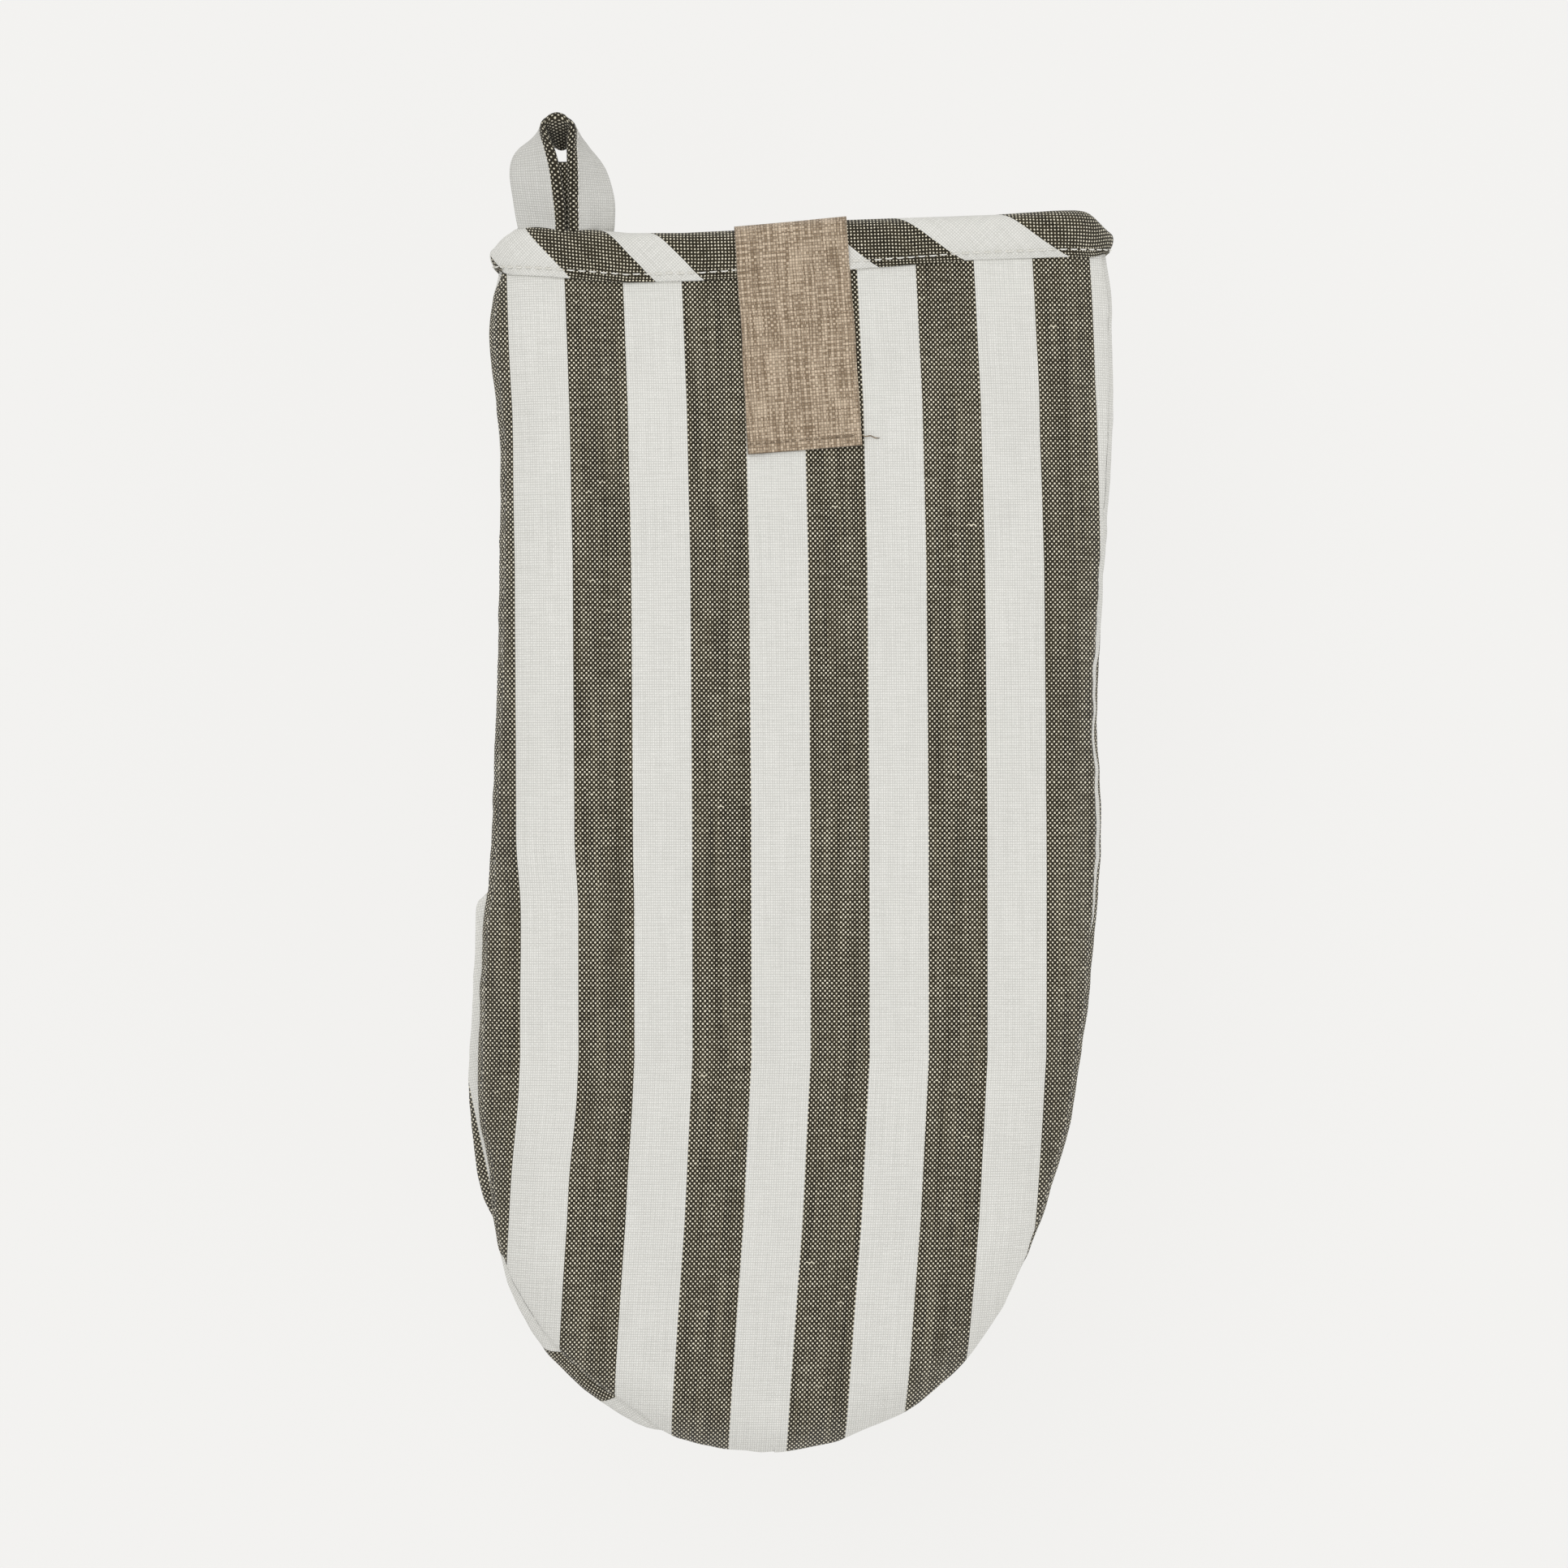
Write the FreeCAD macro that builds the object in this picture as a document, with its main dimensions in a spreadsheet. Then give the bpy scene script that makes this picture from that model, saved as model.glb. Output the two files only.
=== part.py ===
"""Oven mitt with a palm-side thumb, lying palm down: outer cloth, wadding and lining in pattern pieces.

The frame is in millimetres: +X across the hand, +Y from the fingertips to the cuff, +Z up, away from
the surface that the mitt lies on. The origin is below the centre of the whole mitt, on that surface.
"""

import FreeCAD, Part
import os

import Sketcher

Vector = FreeCAD.Vector
UP = FreeCAD.Rotation()
SIDE_VIEW = FreeCAD.Rotation(Vector(1, 1, 1), 120)  # a sketch's own x, y and normal become +Y, +Z and +X

# Driving dimensions, in millimetres and degrees.
DIMS = {
    # plan of the hand
    "cuff_left": 79.1,
    "cuff_right": 84.7,
    "tip_radius": 75.0,
    "tip_offset": 8.5,
    "tip_centre_back": 102.6,
    "hip_radius": 374.0,
    "hip_back": 20.0,
    "cuff_front": 148.1,
    "cuff_slant": 1.7,
    # side view of the hand
    "apex_back": 40.0,
    "apex_height": 38.0,
    "top_cuff_radius": 1498.0,
    "top_tip_radius": 600.0,
    "seam_apex_height": 28.5,
    "seam_cuff_radius": 1210.0,
    "seam_tip_radius": 526.0,
    "palm_height": 16.6,
    "ramp_start_back": 118.0,
    "ramp_end_back": 160.0,
    "cuff_lift": 1.8,
    "lift_start": 117.0,
    "lift_end": 129.0,
    "hand_top_rounding": 9.0,
    "hand_foot_rounding": 4.0,
    "least_rounding": 2.55,
    # thumb
    "crotch_back": 28.0,
    "thumb_left": 85.4,
    "thumb_right": 22.6,
    "thumb_centre_back": 96.0,
    "thumb_height": 16.0,
    "thumb_base_gap": 0.3,
    "thumb_rounding": 6.5,
    # cloth, wadding and thread
    "outer_cloth": 0.8,
    "wadding": 3.2,
    "lining_cloth": 0.6,
    "thread_gap": 0.3,
    "thread_width": 0.6,
    # cuff binding and label
    "tape": 1.2,
    "binding_depth": 14.0,
    "binding_stitch_depth": 11.8,
    "label_gap": 0.4,
    "label_cloth": 0.9,
    "label_half_width": 15.0,
    "label_length": 61.0,
    "label_tail": 18.0,
    "label_stitch_margin": 2.4,
    "label_turn": 3.5,
    # hanging loop
    "loop_left": 60.0,
    "loop_height": 23.6,
    "loop_base": 149.0,
    "loop_top": 177.6,
    "tape_width": 13.2,
    "loop_thickness": 2.0,
    "eye_radius": 3.5,
    "strand_gap": 0.3,
    # how far the cutting bodies run past the mitt
    "overrun": 27.0,
    "far_end": 195.0,
    "reach": 400.0,
}

# Depths below the outer face, as sums of the sheet's cells.
SKIN = "0"
OUTER_INSIDE = "outer_cloth"
WADDING_OUTSIDE = "outer_cloth + thread_gap"
WADDING_INSIDE = WADDING_OUTSIDE + " + wadding"
LINING_OUTSIDE = WADDING_INSIDE + " + thread_gap"
POCKET = LINING_OUTSIDE + " + lining_cloth"
BINDING_OUTSIDE = "- tape"
BINDING_INSIDE = POCKET + " + tape"
LABEL_BACK = "- tape - label_gap"
LABEL_FRONT = LABEL_BACK + " - label_cloth"
TAIL_BACK = BINDING_INSIDE + " + label_gap"
TAIL_FRONT = TAIL_BACK + " + label_cloth"

# Extents of cutting boxes that only have to run past the mitt.
BEYOND = "200"
CEILING = "80"
WIDE = ("- " + BEYOND, BEYOND)
TALL = ("- " + CEILING, CEILING)

doc = FreeCAD.newDocument("OvenMitt")


def make_sheet():
    """The spreadsheet of driving dimensions, one aliased cell each."""
    sheet = doc.addObject("Spreadsheet::Sheet", "dims")
    for row, (alias, size) in enumerate(DIMS.items(), start=1):
        sheet.set(f"A{row}", alias)
        sheet.set(f"B{row}", str(size))
        sheet.setAlias(f"B{row}", alias)
    doc.recompute()
    return sheet


def number(formula):
    """Value of a sum of cells and numbers, such as 'cuff_front + overrun'."""
    total, sign = 0.0, 1
    for word in formula.split():
        if word in "+-":
            sign = 1 if word == "+" else -1
        else:
            total += sign * (DIMS[word] if word in DIMS else float(word))
    return total


def cells(formula):
    """The same sum as an expression on the sheet."""
    return " ".join("dims." + word if word in DIMS else word for word in formula.split())


def negative(formula):
    """The sum with every sign turned round."""
    words = formula.split()
    if words[0] not in "+-":
        words.insert(0, "+")
    return " ".join({"+": "-", "-": "+"}.get(word, word) for word in words)


def free_sketch(name, rotation=UP):
    """An empty sketch through the origin, lying flat unless it is turned."""
    sketch = doc.addObject("Sketcher::SketchObject", name)
    sketch.Placement = FreeCAD.Placement(Vector(), rotation)
    return sketch


class Outline:
    """A closed sketch drawn piece by piece, with its places and radii bound to the sheet."""

    def __init__(self, sketch):
        self.sketch = sketch

    def bind(self, constraint, formula):
        index = self.sketch.addConstraint(constraint)
        name = f"size_{index}"
        self.sketch.renameConstraint(index, name)
        self.sketch.setExpression(f"Constraints.{name}", cells(formula))

    def place(self, piece, point, across=None, along=None):
        """Fixes a point (1 start, 2 end, 3 centre) of a piece at the given sums."""
        for kind, formula in (("DistanceX", across), ("DistanceY", along)):
            if formula is not None:
                size = number(formula)
                self.bind(Sketcher.Constraint(kind, -1, 1, piece, point, size), formula)

    def line(self, start, end):
        return self.sketch.addGeometry(Part.LineSegment(Vector(*start), Vector(*end)), False)

    def arc(self, centre, radius, first, last):
        """An arc from the point first to the point last, counter-clockwise."""
        circle = Part.Circle(Vector(*centre), Vector(0, 0, 1), radius)
        angles = [circle.parameter(Vector(*point)) for point in (first, last)]
        return self.sketch.addGeometry(Part.ArcOfCircle(circle, *angles), False)

    def radius(self, piece, formula):
        self.bind(Sketcher.Constraint("Radius", piece, number(formula)), formula)

    def join(self, kind, piece, point, other, other_point):
        """Coincident or Tangent, end to end."""
        self.sketch.addConstraint(Sketcher.Constraint(kind, piece, point, other, other_point))

    def polygon(self, corners):
        """Straight sides between corners given as pairs of sums."""
        points = [(number(across), number(along)) for across, along in corners]
        sides = [self.line(points[i], points[(i + 1) % len(points)]) for i in range(len(points))]
        for i, side in enumerate(sides):
            self.join("Coincident", side, 2, sides[(i + 1) % len(sides)], 1)
            self.place(side, 1, *corners[i])
        return self.sketch


def extrude(name, profile, length="reach"):
    """The sketch or offset wire as a solid, equally far to both sides of its plane."""
    solid = doc.addObject("Part::Extrusion", name)
    solid.Base = profile
    solid.DirMode = "Normal"
    solid.Solid = True
    solid.Symmetric = True
    solid.setExpression("LengthFwd", cells(length))
    return solid


def offset(name, sketch, depth):
    """The sketch taken in by a depth, or let out if the depth is negative."""
    if number(depth) == 0:
        return sketch
    wire = doc.addObject("Part::Offset2D", name)
    wire.Source = sketch
    wire.Join = "Intersection"
    wire.setExpression("Value", cells(negative(depth)))
    return wire


def common(name, *solids):
    shared = doc.addObject("Part::MultiCommon", name)
    shared.Shapes = list(solids)
    return shared


def cut(name, base, tool):
    rest = doc.addObject("Part::Cut", name)
    rest.Base = base
    rest.Tool = tool
    return rest


def box(name, x, y, z, turn=0.0, pivot=Vector()):
    """A box between pairs of sums, turned about a vertical axis through the pivot."""
    solid = doc.addObject("Part::Box", name)
    for side, (low, high) in zip(("Length", "Width", "Height"), (x, y, z)):
        solid.setExpression(side, cells(high + " " + negative(low)))
    corner = Vector(*(number(low) for low, _ in (x, y, z)))
    rotation = FreeCAD.Rotation(Vector(0, 0, 1), turn)
    solid.Placement = FreeCAD.Placement(pivot + rotation.multVec(corner - pivot), rotation)
    return solid


def cuff_slab(name, back, front):
    """Everything between two planes parallel to the slanting cuff edge, as sums ahead of it."""
    along = ("cuff_front " + back, "cuff_front " + front)
    middle = Vector(0, number("cuff_front"), 0)
    return box(name, WIDE, along, TALL, number("cuff_slant"), middle)


def hand_plan():
    """Plan of the hand: a round fingertip end, a fuller right side and straight sides to the cuff."""
    o = Outline(free_sketch("hand_plan"))
    front = number("cuff_front + overrun")
    left, right = (-number("cuff_left"), front), (number("cuff_right"), front)
    tip_centre = (-number("tip_offset"), -number("tip_centre_back"))
    radius, hip_radius = number("tip_radius"), number("hip_radius")
    tip_left = (tip_centre[0] - radius, tip_centre[1])
    hip_end = (number("cuff_right - 4"), -number("hip_back"))
    hip_centre = (hip_end[0] - hip_radius, hip_end[1])
    meeting = (tip_centre[0] + 0.95 * radius, tip_centre[1] - 0.3 * radius)
    left_side = o.line(left, tip_left)
    tip = o.arc(tip_centre, radius, tip_left, meeting)
    hip = o.arc(hip_centre, hip_radius, meeting, hip_end)
    right_side = o.line(hip_end, right)
    mouth = o.line(right, left)
    o.join("Tangent", left_side, 2, tip, 1)
    o.join("Tangent", tip, 2, hip, 1)
    o.join("Tangent", hip, 2, right_side, 1)
    o.join("Coincident", right_side, 2, mouth, 1)
    o.join("Coincident", mouth, 2, left_side, 1)
    o.place(left_side, 1, "- cuff_left", "cuff_front + overrun")
    o.place(right_side, 2, "cuff_right", "cuff_front + overrun")
    o.place(tip, 3, "- tip_offset", "- tip_centre_back")
    o.radius(tip, "tip_radius")
    o.radius(hip, "hip_radius")
    o.place(right_side, 1, None, "- hip_back")
    return o.sketch


def hump(o, apex_height, cuff_radius, tip_radius):
    """Two tangent arcs over the knuckles, to the cuff's end and to the fingertips' end."""
    apex = (-number("apex_back"), number(apex_height))
    pieces = []
    for radius, end in ((cuff_radius, "cuff_front + overrun"), (tip_radius, "- far_end")):
        size = number(radius)
        centre = (apex[0], apex[1] - size)
        reach = number(end) - apex[0]
        foot = (number(end), centre[1] + (size**2 - reach**2) ** 0.5)
        ends = (foot, apex) if reach > 0 else (apex, foot)
        piece = o.arc(centre, size, *ends)
        o.radius(piece, radius)
        o.place(piece, 3, "- apex_back")
        o.place(piece, 1 if reach > 0 else 2, end)
        pieces.append((piece, foot))
    (cuff_arc, cuff_foot), (tip_arc, tip_foot) = pieces
    o.place(cuff_arc, 2, "- apex_back", apex_height)
    o.join("Coincident", cuff_arc, 2, tip_arc, 1)
    return cuff_arc, cuff_foot, tip_arc, tip_foot


def hand_side():
    """Side view of the hand: flat at the wrist, lifted over the thumb, and down again at the fingertips."""
    o = Outline(free_sketch("hand_side", SIDE_VIEW))
    radii = ("top_cuff_radius", "top_tip_radius")
    cuff_arc, cuff_foot, tip_arc, tip_foot = hump(o, "apex_height", *radii)
    ramp_end, ramp_start = -number("ramp_end_back"), -number("ramp_start_back")
    height = number("palm_height")
    run = ramp_start - ramp_end
    bend = (run**2 + height**2) / (4 * height)
    floor_end, palm_end = (ramp_end, 0), (ramp_start, height)
    middle = ((ramp_end + ramp_start) / 2, height / 2)
    tip_wall = o.line(tip_foot, (-number("far_end"), 0))
    tip_floor = o.line((-number("far_end"), 0), floor_end)
    rise = o.arc((ramp_end, bend), bend, floor_end, middle)
    crest = o.arc((ramp_start, height - bend), bend, palm_end, middle)
    palm = [("- crotch_back", "palm_height"), ("- crotch_back", "0"), ("lift_start", "0")]
    palm += [("lift_end", "cuff_lift"), ("cuff_front + overrun", "cuff_lift")]
    corners = [(number(across), number(along)) for across, along in palm]
    sides = [o.line(start, end) for start, end in zip([palm_end] + corners, corners)]
    end_wall = o.line(corners[-1], cuff_foot)
    o.join("Coincident", tip_arc, 2, tip_wall, 1)
    o.join("Coincident", tip_wall, 2, tip_floor, 1)
    o.place(tip_floor, 1, "- far_end", "0")
    o.join("Coincident", tip_floor, 2, rise, 1)
    o.place(rise, 1, "- ramp_end_back", "0")
    o.place(rise, 3, "- ramp_end_back")
    o.join("Tangent", rise, 2, crest, 2)
    o.place(crest, 3, "- ramp_start_back")
    o.join("Coincident", crest, 1, sides[0], 1)
    o.place(crest, 1, "- ramp_start_back", "palm_height")
    for side, following, corner in zip(sides, sides[1:] + [end_wall], palm):
        o.join("Coincident", side, 2, following, 1)
        o.place(side, 2, *corner)
    o.join("Coincident", end_wall, 2, cuff_arc, 1)
    return o.sketch


def above_seam():
    """Everything above the side seam, which runs between the back and the palm."""
    o = Outline(free_sketch("seam_side", SIDE_VIEW))
    ceiling = number(CEILING)
    radii = ("seam_cuff_radius", "seam_tip_radius")
    cuff_arc, cuff_foot, tip_arc, tip_foot = hump(o, "seam_apex_height", *radii)
    tip_wall = o.line(tip_foot, (tip_foot[0], ceiling))
    lid = o.line((tip_foot[0], ceiling), (cuff_foot[0], ceiling))
    cuff_wall = o.line((cuff_foot[0], ceiling), cuff_foot)
    o.join("Coincident", tip_arc, 2, tip_wall, 1)
    o.join("Coincident", tip_wall, 2, lid, 1)
    o.join("Coincident", lid, 2, cuff_wall, 1)
    o.join("Coincident", cuff_wall, 2, cuff_arc, 1)
    o.place(lid, 1, "- far_end", CEILING)
    o.place(lid, 2, "cuff_front + overrun", CEILING)
    return o.sketch


def thumb_plan():
    """Plan of the thumb: straight sides and a round end."""
    o = Outline(free_sketch("thumb_plan"))
    left, right = -number("thumb_left"), -number("thumb_right")
    front, back = number("overrun - crotch_back"), -number("thumb_centre_back")
    radius = (right - left) / 2
    centre = ((left + right) / 2, back)
    left_side = o.line((left, front), (left, back))
    tip = o.arc(centre, radius, (left, back), (right, back))
    right_side = o.line((right, back), (right, front))
    mouth = o.line((right, front), (left, front))
    o.join("Tangent", left_side, 2, tip, 1)
    o.join("Tangent", tip, 2, right_side, 1)
    o.join("Coincident", right_side, 2, mouth, 1)
    o.join("Coincident", mouth, 2, left_side, 1)
    o.place(left_side, 1, "- thumb_left", "overrun - crotch_back")
    o.place(right_side, 2, "- thumb_right", "overrun - crotch_back")
    o.place(left_side, 2, "- thumb_left")
    o.place(tip, 3, None, "- thumb_centre_back")
    return o.sketch


def thumb_side():
    """Side view of the thumb, from past its mouth to past its tip."""
    corners = [("- far_end", "0"), ("overrun - crotch_back", "0")]
    corners += [("overrun - crotch_back", "thumb_height"), ("- far_end", "thumb_height")]
    return Outline(free_sketch("thumb_side", SIDE_VIEW)).polygon(corners)


def rim_edges(shape, upward):
    """Names of the edges where the side wall of a body meets its top, or its underside."""
    names = []
    for index, edge in enumerate(shape.Edges, start=1):
        middle = edge.valueAt((edge.FirstParameter + edge.LastParameter) / 2)
        wall = rim = False
        for face in shape.ancestorsOfType(edge, Part.Face):
            normal = face.normalAt(*face.Surface.parameter(middle))
            end_wall = face.Surface.TypeId == "Part::GeomPlane" and abs(normal.y) > 0.99
            wall = wall or (abs(normal.z) < 0.05 and not end_wall)
            rim = rim or (normal.z > 0.3 if upward else normal.z < -0.3)
        if wall and rim:
            names.append(f"Edge{index}")
    return names


def rounded(name, solid, roundings, depth):
    """The body with its upper and lower rims rounded, by radii that shrink with the depth."""
    body = doc.addObject("PartDesign::Body", name)
    body.BaseFeature = solid
    doc.recompute()
    for upward, radius in zip((True, False), roundings):
        formula = radius + " " + negative(depth)
        if number(formula) < number("least_rounding"):
            continue
        last = body.Tip
        fillet = body.newObject("PartDesign::Fillet", name + ("_upper_rim" if upward else "_lower_rim"))
        fillet.Base = (last, rim_edges(last.Shape, upward))
        fillet.setExpression("Radius", cells(formula))
        doc.recompute()
    return body


class Nest:
    """The same rounded body at any depth below its outer face, from a plan and a side view."""

    def __init__(self, name, plan, side, *roundings):
        self.name, self.plan, self.side, self.roundings = name, plan, side, roundings
        self.prisms, self.bodies = {}, {}

    def at(self, depth):
        if depth not in self.bodies:
            name = f"{self.name}_{len(self.bodies)}"
            self.prisms[depth] = extrude(name + "_plan_prism", offset(name + "_plan", self.plan, depth))
            side = extrude(name + "_side_prism", offset(name + "_side", self.side, depth))
            block = common(name + "_block", self.prisms[depth], side)
            self.bodies[depth] = rounded(name + "_body", block, self.roundings, depth)
        return self.bodies[depth]

    def prism(self, depth):
        self.at(depth)
        return self.prisms[depth]

    def layer(self, name, outside, inside):
        return cut(name, self.at(outside), self.at(inside))


parts = []


def keep(solid, label):
    """Names a finished sub-part."""
    solid.Label = label
    parts.append(solid)
    return solid


LAYERS = (
    ("outer", SKIN, OUTER_INSIDE),
    ("wadding", WADDING_OUTSIDE, WADDING_INSIDE),
    ("lining", LINING_OUTSIDE, POCKET),
)


def hand_pieces(hand, thumb, upper, trim):
    """Back, wrist palm and finger palm of each layer; the wrist palm is open into the thumb."""
    wrist_end = box("wrist_end", WIDE, ("- crotch_back", BEYOND), TALL)
    mouth = common("thumb_mouth", thumb.at(POCKET), hand.prism(POCKET))
    for name, outside, inside in LAYERS:
        shell = common(name + "_shell", hand.layer(name + "_layer", outside, inside), trim)
        keep(common(name + "_back", shell, upper), "back_" + name)
        palm = cut(name + "_palm", shell, upper)
        wrist = common(name + "_wrist", palm, wrist_end)
        keep(cut(name + "_wrist_open", wrist, mouth), "palm_wrist_" + name)
        keep(cut(name + "_fingers", palm, wrist_end), "palm_finger_" + name)


def thumb_pieces(thumb):
    """Upper and lower side of each layer of the thumb, from its base to its tip."""
    base = ("- far_end", "- crotch_back - thumb_base_gap")
    body = box("thumb_length", WIDE, base, TALL)
    half = number("thumb_height") / 2
    for name, outside, inside in LAYERS:
        tube = common(name + "_thumb_tube", thumb.layer(name + "_thumb_layer", outside, inside), body)
        above = box(name + "_thumb_above", WIDE, WIDE, (f"{half}", CEILING))
        keep(common(name + "_thumb_upper", tube, above), "thumb_upper_" + name)
        keep(cut(name + "_thumb_lower", tube, above), "thumb_lower_" + name)
    half_thread = number("thread_width") / 2
    heights = (f"{half - half_thread}", f"{half + half_thread}")
    band = box("thumb_seam_band", WIDE, base, heights)
    gap = thumb.layer("thumb_thread_gap", OUTER_INSIDE, WADDING_OUTSIDE)
    keep(common("thumb_thread", gap, band), "thumb_seam_thread")


def seam_threads(hand, seam, trim):
    """Threads of the side seams of the outer cloth and the lining, and of the seam across the palm."""
    half = number("thread_width") / 2
    edges = []
    for name, shift in (("below", -half), ("above", half)):
        edge = extrude("seam_" + name, seam)
        edge.Placement = FreeCAD.Placement(Vector(0, 0, shift), UP)
        edges.append(edge)
    band = cut("seam_band", *edges)
    for name, outside, inside in (
        ("side_seam_thread", OUTER_INSIDE, WADDING_OUTSIDE),
        ("lining_seam_thread", WADDING_INSIDE, LINING_OUTSIDE),
    ):
        gap = hand.layer(name + "_gap", outside, inside)
        keep(common(name + "_run", gap, band, trim), name)
    corner = box(
        "palm_seam_corner",
        ("- thumb_right", "60"),
        ("- crotch_back", "- crotch_back + thread_width + outer_cloth"),
        ("palm_height", "palm_height + thread_width + outer_cloth"),
    )
    gap = hand.layer("palm_seam_gap", OUTER_INSIDE, WADDING_OUTSIDE)
    keep(common("palm_seam_run", gap, corner), "palm_seam_thread")


def wrap(name, hand, outside, inside, cover, outer_core, inner_core, core_cover):
    """Cloth folded over the cuff edge: a U in section, all the way round the cuff."""
    layer = hand.layer(name + "_layer", outside, inside)
    gap = hand.layer(name + "_gap", outer_core, inner_core)
    whole = common(name + "_whole", layer, cuff_slab(name + "_all", "- 300", cover))
    core = common(name + "_core", gap, cuff_slab(name + "_below", "- 300", core_cover))
    return cut(name + "_wrap", whole, core)


def cuff_pieces(hand, upper):
    """Binding over the cuff edge, the label folded over it, and the stitching of both."""
    tape = wrap("binding", hand, BINDING_OUTSIDE, BINDING_INSIDE, "+ tape", SKIN, POCKET, "+ 0")
    keep(common("binding_ring", tape, cuff_slab("binding_band", "- binding_depth", "+ 10")), "cuff_binding")
    stitches = hand.layer("stitch_layer", "- tape - thread_gap", BINDING_OUTSIDE)
    row = cuff_slab("stitch_row", "- binding_stitch_depth - thread_width", "- binding_stitch_depth")
    keep(common("binding_stitches", stitches, row), "binding_stitching")

    cover = "+ tape + label_gap"
    lid = cover + " + label_cloth"
    strip = wrap("label", hand, LABEL_FRONT, TAIL_FRONT, lid, LABEL_BACK, TAIL_BACK, cover)
    width = ("- label_half_width", "label_half_width")
    front = "cuff_front + tape - label_length"
    turn, pivot = number("label_turn"), Vector(0, number("cuff_front"), 0)
    flap = box("label_flap", width, (front, BEYOND), TALL, turn, pivot)
    beyond_tail = ("- 100", "cuff_front - label_tail")
    tail_limit = box("label_tail_zone", ("- 40", "40"), beyond_tail, TALL)
    inside = common("label_tail_cut", tail_limit, hand.at(SKIN))
    above = common("label_above", strip, flap, upper)
    keep(cut("label_strip", above, inside), "label")
    thread = hand.layer("label_thread", LABEL_FRONT + " - thread_gap", LABEL_FRONT)
    seam = front + " + label_stitch_margin"
    inner = ("- label_half_width + thread_width", "label_half_width - thread_width")
    row = box("label_row", inner, (seam, seam + " + thread_width"), TALL, turn, pivot)
    keep(common("label_stitches", thread, row, upper), "label_stitching")


def plane_sketch(body, name, role):
    """An empty sketch on one of the body's own planes."""
    sketch = body.newObject("Sketcher::SketchObject", name)
    plane = [feature for feature in body.Origin.OriginFeatures if feature.Role == role][0]
    sketch.AttachmentSupport = [(plane, "")]
    sketch.MapMode = "FlatFace"
    return sketch


def tape_section(body, name, side, share):
    """Section of the tape: a rectangle that moves inwards and turns on edge on its way up."""
    o = Outline(plane_sketch(body, name, "XZ_Plane"))
    half_width, half_thickness = number("tape_width") / 2, number("loop_thickness") / 2
    corners = [(-half_width, -half_thickness), (half_width, -half_thickness)]
    corners += [(half_width, half_thickness), (-half_width, half_thickness)]
    sides = [o.line(corners[i], corners[(i + 1) % 4]) for i in range(4)]
    for i, kind in enumerate(("Horizontal", "Vertical", "Horizontal", "Vertical")):
        o.join("Coincident", sides[i], 2, sides[(i + 1) % 4], 1)
        o.sketch.addConstraint(Sketcher.Constraint(kind, sides[i]))
    o.sketch.addConstraint(Sketcher.Constraint("Symmetric", sides[0], 1, sides[2], 1, -1, 1))
    for i, kind, formula in ((0, "DistanceX", "tape_width"), (1, "DistanceY", "loop_thickness")):
        o.bind(Sketcher.Constraint(kind, sides[i], 1, sides[i], 2, number(formula)), formula)
    turn = side * 90 * share**2 * (3 - 2 * share)
    o.sketch.AttachmentOffset = FreeCAD.Placement(Vector(), FreeCAD.Rotation(Vector(0, 0, 1), turn))
    foot = "(dims.tape_width / 2 + dims.strand_gap)"
    bend = "(dims.eye_radius + dims.loop_thickness / 2)"
    rise = "(dims.loop_top - dims.loop_base - dims.eye_radius - dims.loop_thickness)"
    across = f"{side} * ({foot} * {1 - share**2} + {bend} * {share**2})"
    o.sketch.setExpression(".AttachmentOffset.Base.x", across)
    o.sketch.setExpression(".AttachmentOffset.Base.z", f"-{rise} * {share}")
    return o.sketch


def loop_bend(body):
    """The half ring of tape at the top of the loop."""
    o = Outline(plane_sketch(body, "loop_bend", "XY_Plane"))
    rise = "loop_top - loop_base - eye_radius - loop_thickness"
    centre = (0, number(rise))
    arcs, ends = [], []
    for formula in ("eye_radius + loop_thickness", "eye_radius"):
        radius = number(formula)
        ends.append(((radius, centre[1]), (-radius, centre[1])))
        arcs.append(o.arc(centre, radius, *ends[-1]))
        o.radius(arcs[-1], formula)
        o.place(arcs[-1], 3, "0", rise)
    for point in (0, 1):
        foot = o.line(ends[0][point], ends[1][point])
        o.join("Coincident", arcs[0], point + 1, foot, 1)
        o.join("Coincident", arcs[1], point + 1, foot, 2)
        o.place(foot, 1, None, rise)
        o.place(foot, 2, None, rise)
    bend = body.newObject("PartDesign::Pad", "loop_top_bend")
    bend.Profile = o.sketch
    bend.Midplane = True
    bend.setExpression("Length", cells("tape_width"))


def hanging_loop():
    """One tape whose ends lie side by side at the cuff; it turns on edge and bends over at the top."""
    body = doc.addObject("PartDesign::Body", "loop_body")
    loop_bend(body)
    for side, name in ((-1, "left"), (1, "right")):
        shares = [step / 6 for step in range(7)]
        sections = [tape_section(body, f"loop_{name}_{i}", side, share) for i, share in enumerate(shares)]
        strand = body.newObject("PartDesign::AdditiveLoft", f"loop_{name}_strand")
        strand.Profile = sections[0]
        strand.Sections = sections[1:]
        strand.Ruled = True
    body.setExpression(".Placement.Base.x", "-dims.loop_left")
    body.setExpression(".Placement.Base.y", "dims.loop_base")
    body.setExpression(".Placement.Base.z", "dims.loop_height")
    return body


def write_parts():
    """Checks every object and writes each sub-part to its own file."""
    failed = [o.Name for o in doc.Objects if {"Invalid", "Error"} & set(o.State)]
    assert not failed, failed
    os.makedirs("parts", exist_ok=True)
    for part in parts:
        shape = part.Shape
        assert not shape.isNull() and shape.isValid() and shape.Solids, part.Label
        shape.exportStep(f"parts/{part.Label}.step")
        size = shape.BoundBox
        print(f"{part.Label}: {len(shape.Solids)} solid, {shape.Volume:.0f} mm3", size)


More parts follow.
